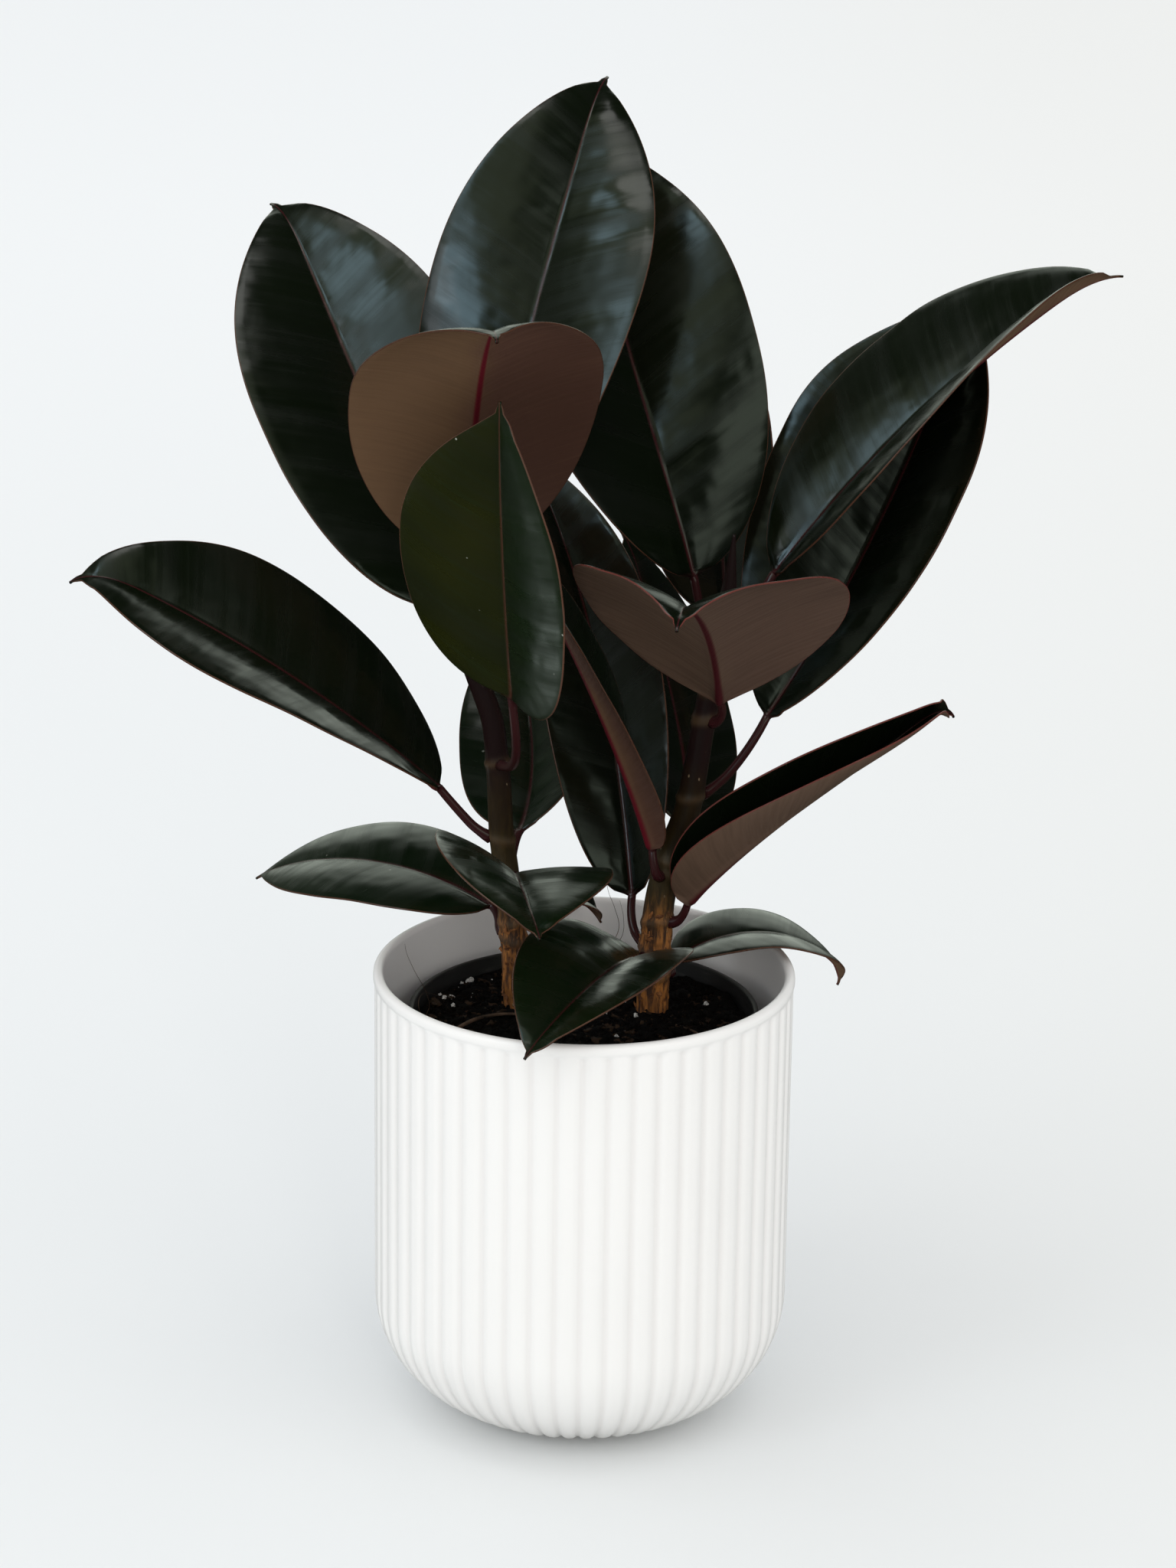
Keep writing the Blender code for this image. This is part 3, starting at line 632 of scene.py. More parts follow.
def turned(profile: Sequence[tuple], steps: int) -> tuple[np.ndarray, list]:
    """Turn a profile about the Z axis.

    Args:
        profile: (radius, height) points; a radius of 0 at an end closes it with a pole.
        steps: Steps around.

    Returns:
        The points in millimetres and the quads and triangles.
    """
    points, rows = [], []
    for radius, height in profile:
        if radius < 1e-6:
            rows.append([len(points)] * steps)
            points.append((0.0, 0.0, height))
        else:
            rows.append(list(range(len(points), len(points) + steps)))
            turns = [math.tau * i / steps for i in range(steps)]
            points += [(radius * math.cos(turn), radius * math.sin(turn), height) for turn in turns]
    faces = []
    for near, far in zip(rows, rows[1:]):
        for i in range(steps):
            corners = (near[i], far[i], far[(i + 1) % steps], near[(i + 1) % steps])
            faces.append(list(dict.fromkeys(corners)))
    return np.array(points), faces


class GeometryTree:
    """A Geometry Nodes tree with named inputs, run once on a piece and then removed."""

    def __init__(self, name: str) -> None:
        """Start a tree with its geometry input and output."""
        self.tree = bpy.data.node_groups.new(name, "GeometryNodeTree")
        self.tree.interface.new_socket("Geometry", in_out="INPUT", socket_type="NodeSocketGeometry")
        self.tree.interface.new_socket("Geometry", in_out="OUTPUT", socket_type="NodeSocketGeometry")
        self.graph = Graph(self.tree)
        self.inputs = self.graph.add("NodeGroupInput")
        self.output = self.graph.add("NodeGroupOutput")
        self.keys: dict[str, str] = {}

    def number(self, name: str, kind: str = "NodeSocketFloat") -> Socket:
        """Add a named input and return its socket inside the tree."""
        item = self.tree.interface.new_socket(name, in_out="INPUT", socket_type=kind)
        self.keys[name] = item.identifier
        return self.inputs.outputs[name]

    def run(self, piece: Piece, values: dict[str, object]) -> None:
        """Run the tree on a piece and leave the result as the piece's plain mesh.

        Args:
            piece: The object that gives the geometry and takes the result.
            values: A value for each named input.
        """
        modifier = piece.modifiers.new(self.tree.name, "NODES")
        modifier.node_group = self.tree
        for name, value in values.items():
            modifier[self.keys[name]] = value
        bpy.context.view_layer.update()
        shown = piece.evaluated_get(bpy.context.evaluated_depsgraph_get())
        mesh = bpy.data.meshes.new_from_object(shown)
        piece.modifiers.remove(modifier)
        piece.data = mesh


def rib_tree() -> GeometryTree:
    """Build the tree that presses the grooves between the ribs into the pot's turned shell.

    Returns:
        The tree, with the ribs' count and depth and the pot's sizes as inputs.
    """
    made = GeometryTree("pot_ribs")
    graph = made.graph
    count, depth = made.number("Rib Count"), made.number("Rib Depth")
    foot, wall = made.number("Foot Radius"), made.number("Wall Radius")
    corner, top = made.number("Corner Height"), made.number("Rib Top")
    position = graph.add("GeometryNodeInputPosition").outputs[0]
    parts = graph.add("ShaderNodeSeparateXYZ", {0: position})
    x, y, z = parts.outputs
    radius = graph.math("SQRT", graph.math("ADD", graph.math("MULTIPLY", x, x), graph.math("MULTIPLY", y, y)))
    turn = graph.math("DIVIDE", graph.math("ARCTAN2", y, x), math.tau)
    phase = graph.math("FRACT", graph.math("MULTIPLY_ADD", turn, count, 1000.0))
    offset = graph.math("MULTIPLY_ADD", phase, 2.0, -1.0)
    cosine = graph.math("COSINE", graph.math("MULTIPLY", offset, math.pi))
    wave = graph.math("MULTIPLY_ADD", cosine, -0.5, 0.5)
    groove = graph.math("POWER", wave, 2.4)
    outer = graph.add("GeometryNodeInputNamedAttribute", {"Name": "outer"}, data_type="FLOAT").outputs[0]
    below = graph.spread(z, top, graph.math("SUBTRACT", top, 0.0018))
    fade = graph.math("DIVIDE", graph.math("SUBTRACT", radius, foot), graph.math("SUBTRACT", wall, foot))
    fade = graph.math("MINIMUM", graph.math("MULTIPLY", fade, 2.0), 1.0)
    amount = graph.math("MULTIPLY", graph.math("MULTIPLY", groove, outer),
                        graph.math("MULTIPLY", below, graph.math("MAXIMUM", fade, 0.0)))
    width = graph.math("SUBTRACT", wall, foot)
    out = graph.math("DIVIDE", graph.math("MAXIMUM", graph.math("SUBTRACT", radius, foot), 0.0),
                     graph.math("MULTIPLY", width, width))
    down = graph.math("DIVIDE", graph.math("MAXIMUM", graph.math("SUBTRACT", corner, z), 0.0),
                      graph.math("MULTIPLY", corner, corner))
    size = graph.math("SQRT", graph.math("ADD", graph.math("MULTIPLY", out, out),
                                         graph.math("MULTIPLY", down, down)))
    move = graph.math("MULTIPLY", amount, depth)
    inward = graph.math("DIVIDE", graph.math("MULTIPLY", move, out), size)
    scale = graph.math("DIVIDE", graph.math("SUBTRACT", radius, inward), graph.math("MAXIMUM", radius, 0.001))
    lift = graph.math("DIVIDE", graph.math("MULTIPLY", move, down), size)
    placed = graph.add("ShaderNodeCombineXYZ", {0: graph.math("MULTIPLY", x, scale),
                                                1: graph.math("MULTIPLY", y, scale),
                                                2: graph.math("ADD", z, lift)}).outputs[0]
    store = graph.add("GeometryNodeStoreNamedAttribute", {"Geometry": made.inputs.outputs["Geometry"],
                                                          "Name": "groove", "Value": amount},
                      data_type="FLOAT", domain="POINT")
    moved = graph.add("GeometryNodeSetPosition", {"Geometry": store.outputs[0], "Position": placed})
    graph.plug(made.output.inputs[0], moved.outputs[0])
    return made


def scatter_tree(name: str, subdivisions: int) -> GeometryTree:
    """Build the tree that strews uneven grains or flakes over a surface.

    Args:
        name: The tree's name.
        subdivisions: Fineness of one grain.

    Returns:
        The tree, with the grains' number, sizes, flatness, sinking, seed and material as inputs.
    """
    made = GeometryTree(name)
    graph = made.graph
    density, seed = made.number("Density"), made.number("Seed", "NodeSocketInt")
    small, large = made.number("Smallest"), made.number("Largest")
    shape = made.number("Shape", "NodeSocketVector")
    sink = made.number("Sink")
    material = made.number("Material", "NodeSocketMaterial")
    points = graph.add("GeometryNodeDistributePointsOnFaces", {"Mesh": made.inputs.outputs["Geometry"],
                                                               "Density": density, "Seed": seed})
    grain = graph.add("GeometryNodeMeshIcoSphere", {"Radius": 1.0, "Subdivisions": subdivisions})
    shaped = graph.add("GeometryNodeTransform", {"Geometry": grain.outputs[0], "Scale": shape})
    spin = graph.add("FunctionNodeRandomValue", {
        0: (0.0, 0.0, 0.0), 1: (math.tau, math.tau, math.tau), "Seed": seed}, data_type="FLOAT_VECTOR")
    tilt = graph.add("FunctionNodeRandomValue", {0: (-0.5, -0.5, 0.0), 1: (0.5, 0.5, math.tau), "Seed": seed},
                     data_type="FLOAT_VECTOR")
    flat = made.number("Lie Flat", "NodeSocketBool")
    turn = graph.add("GeometryNodeSwitch", {
        "Switch": flat, "False": spin.outputs[0], "True": tilt.outputs[0]}, input_type="VECTOR")
    local = graph.add("FunctionNodeEulerToRotation", {0: turn.outputs[0]})
    rotation = graph.add("FunctionNodeRotateRotation", {"Rotation": points.outputs["Rotation"],
                                                        "Rotate By": local.outputs[0]}, rotation_space="LOCAL")
    size = graph.add("FunctionNodeRandomValue", {"Seed": graph.math("ADD", seed, 7.0)}, data_type="FLOAT")
    share = graph.math("POWER", size.outputs[1], 2.2)
    scale = graph.math("MULTIPLY_ADD", share, graph.math("SUBTRACT", large, small), small)
    placed = graph.add("GeometryNodeInstanceOnPoints", {
        "Points": points.outputs[0], "Instance": shaped.outputs[0], "Rotation": rotation.outputs[0],
        "Scale": scale})
    lowered = graph.add("GeometryNodeTranslateInstances", {
        "Instances": placed.outputs[0], "Local Space": False,
        "Translation": graph.add("ShaderNodeVectorMath", {0: graph.add("GeometryNodeInputNormal").outputs[0],
                                                          "Scale": graph.math("MULTIPLY", sink, -1.0)},
                                 operation="SCALE").outputs[0]})
    real = graph.add("GeometryNodeRealizeInstances", {0: lowered.outputs[0]})
    where = graph.add("GeometryNodeInputPosition").outputs[0]
    wobble = graph.add("ShaderNodeTexNoise", {"Vector": where, "Scale": 700.0, "Detail": 1.0})
    push = graph.add("ShaderNodeVectorMath", {0: wobble.outputs["Color"], 1: (0.5, 0.5, 0.5)},
                     operation="SUBTRACT")
    push = graph.add("ShaderNodeVectorMath", {0: push.outputs[0], "Scale": graph.math("MULTIPLY", large, 1.1)},
                     operation="SCALE")
    bent = graph.add("GeometryNodeSetPosition", {"Geometry": real.outputs[0], "Offset": push.outputs[0]})
    done = graph.add("GeometryNodeSetMaterial", {"Geometry": bent.outputs[0], "Material": material})
    graph.plug(made.output.inputs[0], done.outputs[0])
    return made


@dataclass
class CoverPot:
    """The ribbed ceramic pot: rounded lip, reeded wall and a large rounded bottom corner."""

    radius: float = 75.0
    height: float = 166.0
    wall: float = 4.2
    lip: float = 3.7
    band: float = 3.4
    step: float = 0.5
    ribs: int = 52
    steps_per_rib: int = 12
    rib_depth: float = 1.0
    corner_width: float = 48.0
    corner_height: float = 43.0
    floor: float = 6.0
    foot_width: float = 4.0
    foot_recess: float = 1.2
    lip_height: float = 1.9

    def profile(self) -> tuple[list, int]:
        """Give the shell's outline from the foot's middle up and over the lip to the floor inside.

        Returns:
            The (radius, height) points and the number of them on the outer side.
        """
        foot = self.radius - self.corner_width
        side = self.radius - self.step
        points = [(0.0, self.foot_recess), (foot - self.foot_width - 1.0, self.foot_recess),
                  (foot - self.foot_width, 0.0), (foot, 0.0)]
        for k in range(1, 19):
            turn = math.radians(90 * k / 18)
            points.append((foot + (self.corner_width - self.step) * math.sin(turn),
                           self.corner_height * (1 - math.cos(turn))))
        top = self.height - self.band
        points += [(side, self.corner_height + rise) for rise in (20.0, 45.0, 70.0, 90.0, 100.0)]
        points += [(side, top - share * 6.0 - 1.0) for share in (1.0, 0.7, 0.4, 0.2, 0.0)]
        points += [(side + 0.1, top - 0.6), (side + 0.35, top - 0.1), (self.radius, top + 0.5),
                   (self.radius, self.height - 2.0)]
        middle = self.radius - self.lip / 2
        for k in range(1, 12):
            turn = math.radians(180 * k / 12)
            points.append((middle + self.lip / 2 * math.cos(turn),
                           self.height - self.lip_height + self.lip_height * math.sin(turn)))
        outer = len(points)
        inner = self.radius - self.lip
        points += [(inner, self.height - 2.0), (inner, self.height - 12.0), (inner - 0.3, self.height - 20.0),
                   (side - self.wall, 100.0), (side - self.wall, self.corner_height)]
        depth = self.corner_height - self.floor
        for k in range(1, 13):
            turn = math.radians(90 * k / 12)
            points.append((foot + (self.corner_width - self.step - self.wall) * math.cos(turn),
                           self.corner_height - depth * math.sin(turn)))
        points.append((0.0, self.floor))
        return points, outer

    def build(self) -> None:
        """Turn the shell, press its ribs and glaze it."""
        profile, outer_rows = self.profile()
        steps = self.ribs * self.steps_per_rib
        points, faces = turned(profile, steps)
        faces = [face[::-1] for face in faces]
        outer = np.zeros(len(points))
        outer[:1 + (outer_rows - 1) * steps] = 1.0
        pot = mesh_piece("ribbed_cover_pot", points, faces, GLAZE.build(), {"outer": outer})
        rib_tree().run(pot, {"Rib Count": float(self.ribs), "Rib Depth": self.rib_depth * MM,
                             "Foot Radius": (self.radius - self.corner_width) * MM,
                             "Wall Radius": (self.radius - self.step) * MM,
                             "Corner Height": self.corner_height * MM,
                             "Rib Top": (self.height - self.band - 0.3) * MM})
        dress(pot, "white_ceramic", "cover_pot")


@dataclass
class NurseryPot:
    """The thin black growing pot with its stepped rim."""

    rim_radius: float = 62.5
    top: float = 150.5
    rim_height: float = 8.0
    rim_step: float = 1.6
    base_radius: float = 46.0
    base: float = 10.1
    wall: float = 1.3
    around: int = 180

    def build(self) -> None:
        """Turn the pot and give it its plastic."""
        shoulder = self.rim_radius - self.rim_step
        foot = self.top - self.rim_height
        rim = self.rim_radius
        profile = [(0, self.base), (self.base_radius - 1, self.base), (self.base_radius, self.base + 1),
                   (shoulder, foot - 0.4), (shoulder + 0.5, foot), (rim - 0.3, foot), (rim, foot + 0.3),
                   (rim, self.top - 0.5), (rim - 0.15, self.top - 0.15), (rim - 0.5, self.top),
                   (rim - 1.4, self.top), (rim - 1.8, self.top - 0.2), (rim - 1.95, self.top - 0.6),
                   (rim - 1.95, foot + 1.8), (rim - 2.2, foot + 1.2), (shoulder - self.wall, foot),
                   (self.base_radius - self.wall, self.base + 1.6), (0, self.base + self.wall)]
        points, faces = turned(profile, self.around)
        pot = mesh_piece("growing_pot", points, [face[::-1] for face in faces], PLASTIC.build())
        dress(pot, "black_plastic", "nursery_pot")


@dataclass
class PottingSoil:
    """The soil's rough top and what lies on it: crumbs, bark chips, perlite, twig and root hairs."""

    top: float = 145.0
    edge: float = 59.0
    around: int = 220
    floor_radius: float = 44.4
    floor: float = 12.0
    lump: float = 1.8
    lump_size: float = 11.0
    perlite_spots: tuple = ((-32.5, 56.0, 1.9), (-41.6, 38.5, 1.5), (-50.4, 19.8, 0.9), (18.6, 6.0, 0.9),
                            (-46.9, 13.2, 0.8), (-52.0, 25.1, 0.7), (7.6, 7.8, 1.0), (11.7, -14.8, 0.7),
                            (-44.5, 35.0, 0.7), (-48.0, 22.5, 1.2), (30.0, -38.0, 1.1), (-8.0, 48.0, 1.2),
                            (12.0, 40.0, 1.5), (44.0, 18.0, 1.0), (48.0, -12.0, 1.3), (-20.0, -42.0, 1.0))

    def surface(self, x: float, y: float) -> float:
        """Height of the soil's rough top at a place."""
        near = Vector((x, y, 0.0)) / self.lump_size
        rise = self.lump * (noise.noise(near) + 0.5 * noise.noise(near * 2.1))
        fine = Vector((x, y, 3.0))
        rise += 0.9 * noise.noise(fine / 3.4) + 0.5 * noise.noise(fine / 1.5)
        for stem in STEMS:
            sx, sy, _ = stem.path[0]
            rise += 1.6 * math.exp(-((x - sx) ** 2 + (y - sy) ** 2) / 90.0)
        return self.top + rise

    def bed(self) -> Piece:
        """Make the soil's closed body with its rough top."""
        rings = [0.0] + list(np.linspace(1.0, self.edge, 58))
        profile = [(radius, self.top) for radius in rings]
        profile += [(self.edge + 0.4, self.top - 4.0), (self.floor_radius, self.floor), (0.0, self.floor)]
        points, faces = turned(profile, self.around)
        for point in points:
            if point[2] > self.top - 1.0:
                point[2] = self.surface(point[0], point[1])
        return mesh_piece("soil_bed", points, faces, PEAT.build())

    def strewn(self, name: str, tree: GeometryTree, finish: Finish,
               values: dict[str, object]) -> Piece:
        """Strew grains over a copy of the soil's top and keep only the grains.

        Args:
            name: The new piece's name.
            tree: The scatter tree.
            finish: The grains' finish.
            values: The tree's inputs, without the material.

        Returns:
            The grains as one piece.
        """
        rings = [0.0] + list(np.linspace(4.0, self.edge - 2.5, 14))
        points, faces = turned([(radius, self.top) for radius in rings], 48)
        for point in points:
            point[2] = self.surface(point[0], point[1])
        material = finish.build()
        piece = mesh_piece(name, points, faces, material)
        tree.run(piece, {**values, "Material": material})
        piece.data.shade_smooth()
        return piece

    def perlite(self) -> Piece:
        """Set the larger perlite grains one by one."""
        cage = bmesh.new()
        for index, (x, y, size) in enumerate(self.perlite_spots):
            grain = bmesh.ops.create_icosphere(cage, subdivisions=3, radius=size)
            shift = Vector((index * 7.3, 2.0, 5.0))
            for vertex in grain["verts"]:
                wobble = noise.noise(vertex.co / size * 1.3 + shift) * 0.55
                wobble += noise.noise(vertex.co / size * 3.6 + shift) * 0.2
                vertex.co *= 1.0 + wobble
                vertex.co += Vector((x, y, self.surface(x, y) + size * 0.35))
        points = np.array([vertex.co[:] for vertex in cage.verts])
        faces = [[vertex.index for vertex in face.verts] for face in cage.faces]
        cage.free()
        return mesh_piece("perlite_grains", points, faces, PERLITE.build())

    def build(self) -> None:
        """Lay the bed and strew everything on it."""
        dress(self.bed(), "potting_mix", "soil")
        tree = scatter_tree("strewn_grains", 2)
        crumbs = self.strewn("soil_crumbs", tree, PEAT, {
            "Density": 260000.0, "Seed": 3, "Smallest": 0.35 * MM, "Largest": 1.9 * MM,
            "Shape": (1.0, 0.8, 0.65), "Sink": 0.0001, "Lie Flat": False})
        dress(crumbs, "potting_mix")
        chips = self.strewn("bark_chips", tree, CHIP, {
            "Density": 26000.0, "Seed": 11, "Smallest": 0.8 * MM, "Largest": 3.6 * MM,
            "Shape": (1.0, 0.5, 0.18), "Sink": 0.0, "Lie Flat": True})
        dress(chips, "potting_mix")
        dust = self.strewn("perlite_dust", tree, PERLITE, {
            "Density": 5200.0, "Seed": 5, "Smallest": 0.16 * MM, "Largest": 0.75 * MM,
            "Shape": (1.0, 0.85, 0.7), "Sink": -0.0002, "Lie Flat": False})
        dress(dust, "potting_mix")
        dress(self.perlite(), "potting_mix")
        for name, radius, path in self.fibres():
            dress(thread(name, path, radius, HAIR.build()), "potting_mix")

    def fibres(self) -> list[tuple]:
        """List the dry hairs and the twig: name, radius and path."""
        top = self.top
        return [
            ("root_hair_left", 0.16, [(-56.5, 4, top), (-55, 0, top + 6), (-56.5, -3, top + 13),
                                      (-60, -4, top + 20), (-62.8, -5, top + 27), (-63.6, -5, top + 31)]),
            ("root_hair_left_low", 0.14, [(-56.4, 4, top - 1), (-58.6, 2, top + 3), (-58.9, 4, top + 6.4),
                                          (-57, 8, top + 7.4), (-53, 12, top + 5), (-50, 16, top + 1)]),
            ("root_hair_back", 0.16, [(6, 36, top), (9, 40, top + 12), (12.4, 43, top + 20),
                                      (10.8, 45, top + 27), (8.4, 46, top + 33), (7.4, 47, top + 39)]),
            ("root_hair_back_low", 0.14, [(4, 34, top), (8, 40, top + 9), (13.6, 43, top + 17),
                                          (14, 44, top + 24), (12.6, 45, top + 30)]),
            ("dry_twig", 0.9, [(-46, -12, top + 0.9), (-39, -3, top + 1.7), (-30, 1.5, top + 2.1),
                               (-21, 2, top + 1.8), (-12, -1, top + 0.8)]),
            ("surface_root", 0.5, [(33, -2, top + 0.2), (39, -10, top + 1.3), (44, -20, top + 1.2),
                                   (43, -31, top + 0.6)]),
        ]


def thread(name: str, path: Sequence[tuple], radius: float, finish: Material) -> Piece:
    """Sweep a thin tapering thread along a smooth path.

    Args:
        name: The piece's name.
        path: Points in millimetres.
        radius: Its largest radius.
        finish: Its material.

    Returns:
        The thread as a mesh piece.
    """
    places = np.linspace(0, len(path) - 1, 8 * len(path))
    knots = list(range(len(path)))
    line = np.array([[smooth_value(knots, [p[axis] for p in path], at) for axis in range(3)]
                     for at in places])
    ahead = unit_rows(np.gradient(line, axis=0))
    side = unit_rows(np.cross(ahead, (0.31, 0.95, 0.05)))
    up = np.cross(side, ahead)
    sides = 6
    points = []
    for row, (at, s, u) in enumerate(zip(line, side, up)):
        thin = radius * (1.0 - 0.65 * row / len(line))
        points += [at + thin * (math.cos(t) * s + math.sin(t) * u)
                   for t in np.arange(sides) * math.tau / sides]
    return mesh_piece(name, np.array(points), tube_faces(len(line), sides), finish)


@dataclass
class Stem:
    """One bare stem, swept with its leaf scars and its bud, and flaked low down."""

    spec: StemSpec
    around: int = 40
    row_gap: float = 0.8
    ring: float = 1.13
    ring_reach: float = 1.6
    flakes_from: float = 146.0
    flake_sides: int = 14

    def radius(self, height: float, turn: float) -> tuple[float, float]:
        """Radius and scar share at a height and a turn about the stem.

        Args:
            height: Height up the stem.
            turn: Angle about it, in radians.

        Returns:
            The radius, and how much of it is a leaf scar, from 0 to 1.
        """
        radius = self.spec.radius(height)
        scar = 0.0
        for leaf in LEAVES:
            if leaf.stem == self.spec.name:
                slope = 1.2 * math.cos(turn - math.radians(leaf.heading[0]))
                scar = max(scar, math.exp(-((height - leaf.height - slope) / self.ring_reach) ** 2))
        radius *= 1.0 + (self.ring - 1.0) * scar
        place = Vector((math.cos(turn) * 1.4, math.sin(turn) * 1.4, height / 9.0))
        old = float(np.clip((self.spec.bark_top + 12 - height) / 20, 0.15, 1.0))
        taper = float(np.clip(radius / 3.0, 0.0, 1.0))
        radius += 0.5 * old * taper * noise.noise(place)
        radius += 0.3 * old * taper * noise.noise(Vector((place.x * 2.6, place.y * 2.6, place.z * 1.7)))
        return radius, scar

    def body(self) -> Piece:
        """Sweep the stem from its foot in the soil to its bud's tip."""
        heights = np.arange(self.spec.path[0][2], self.spec.path[-1][2] + 0.1, self.row_gap)
        line = np.array([self.spec.centre(h) for h in heights])
        ahead = unit_rows(np.gradient(line, axis=0))
        points, scars = [], []
        for at, forward in zip(line, ahead):
            side = np.cross((0.0, 1.0, 0.0), forward)
            side /= np.linalg.norm(side)
            back = np.cross(forward, side)
            for i in range(self.around):
                turn = math.tau * i / self.around
                radius, scar = self.radius(float(at[2]), turn)
                points.append(at + radius * (math.cos(turn) * side + math.sin(turn) * back))
                scars.append(scar)
        return mesh_piece(self.spec.name + "_bark", np.array(points), tube_faces(len(heights), self.around),
                          BARK.build(), {"scar": np.array(scars)})

    def flakes(self) -> Piece:
        """Lift thin bark flakes off the lowest part of the stem."""
        heights = np.linspace(self.flakes_from, self.spec.bark_top, 12)
        points = []
        for height in heights:
            at, radius = self.spec.centre(float(height)), self.spec.radius(float(height))
            points += [at + radius * np.array((math.cos(t), math.sin(t), 0.0))
                       for t in np.arange(self.flake_sides) * math.tau / self.flake_sides]
        material = FLAKE.build()
        piece = mesh_piece(self.spec.name + "_flakes", np.array(points),
                           tube_faces(len(heights), self.flake_sides, capped=False), material)
        scatter_tree("bark_flakes", 2).run(piece, {
            "Density": 90000.0, "Seed": 2, "Smallest": 0.5 * MM, "Largest": 1.9 * MM,
            "Shape": (0.5, 1.3, 0.12), "Sink": 0.0, "Lie Flat": True, "Material": material})
        return piece

    def build(self) -> None:
        """Make the stem and its flakes."""
        dress(self.body(), "stem_bark", self.spec.name)
        dress(self.flakes(), "stem_bark")


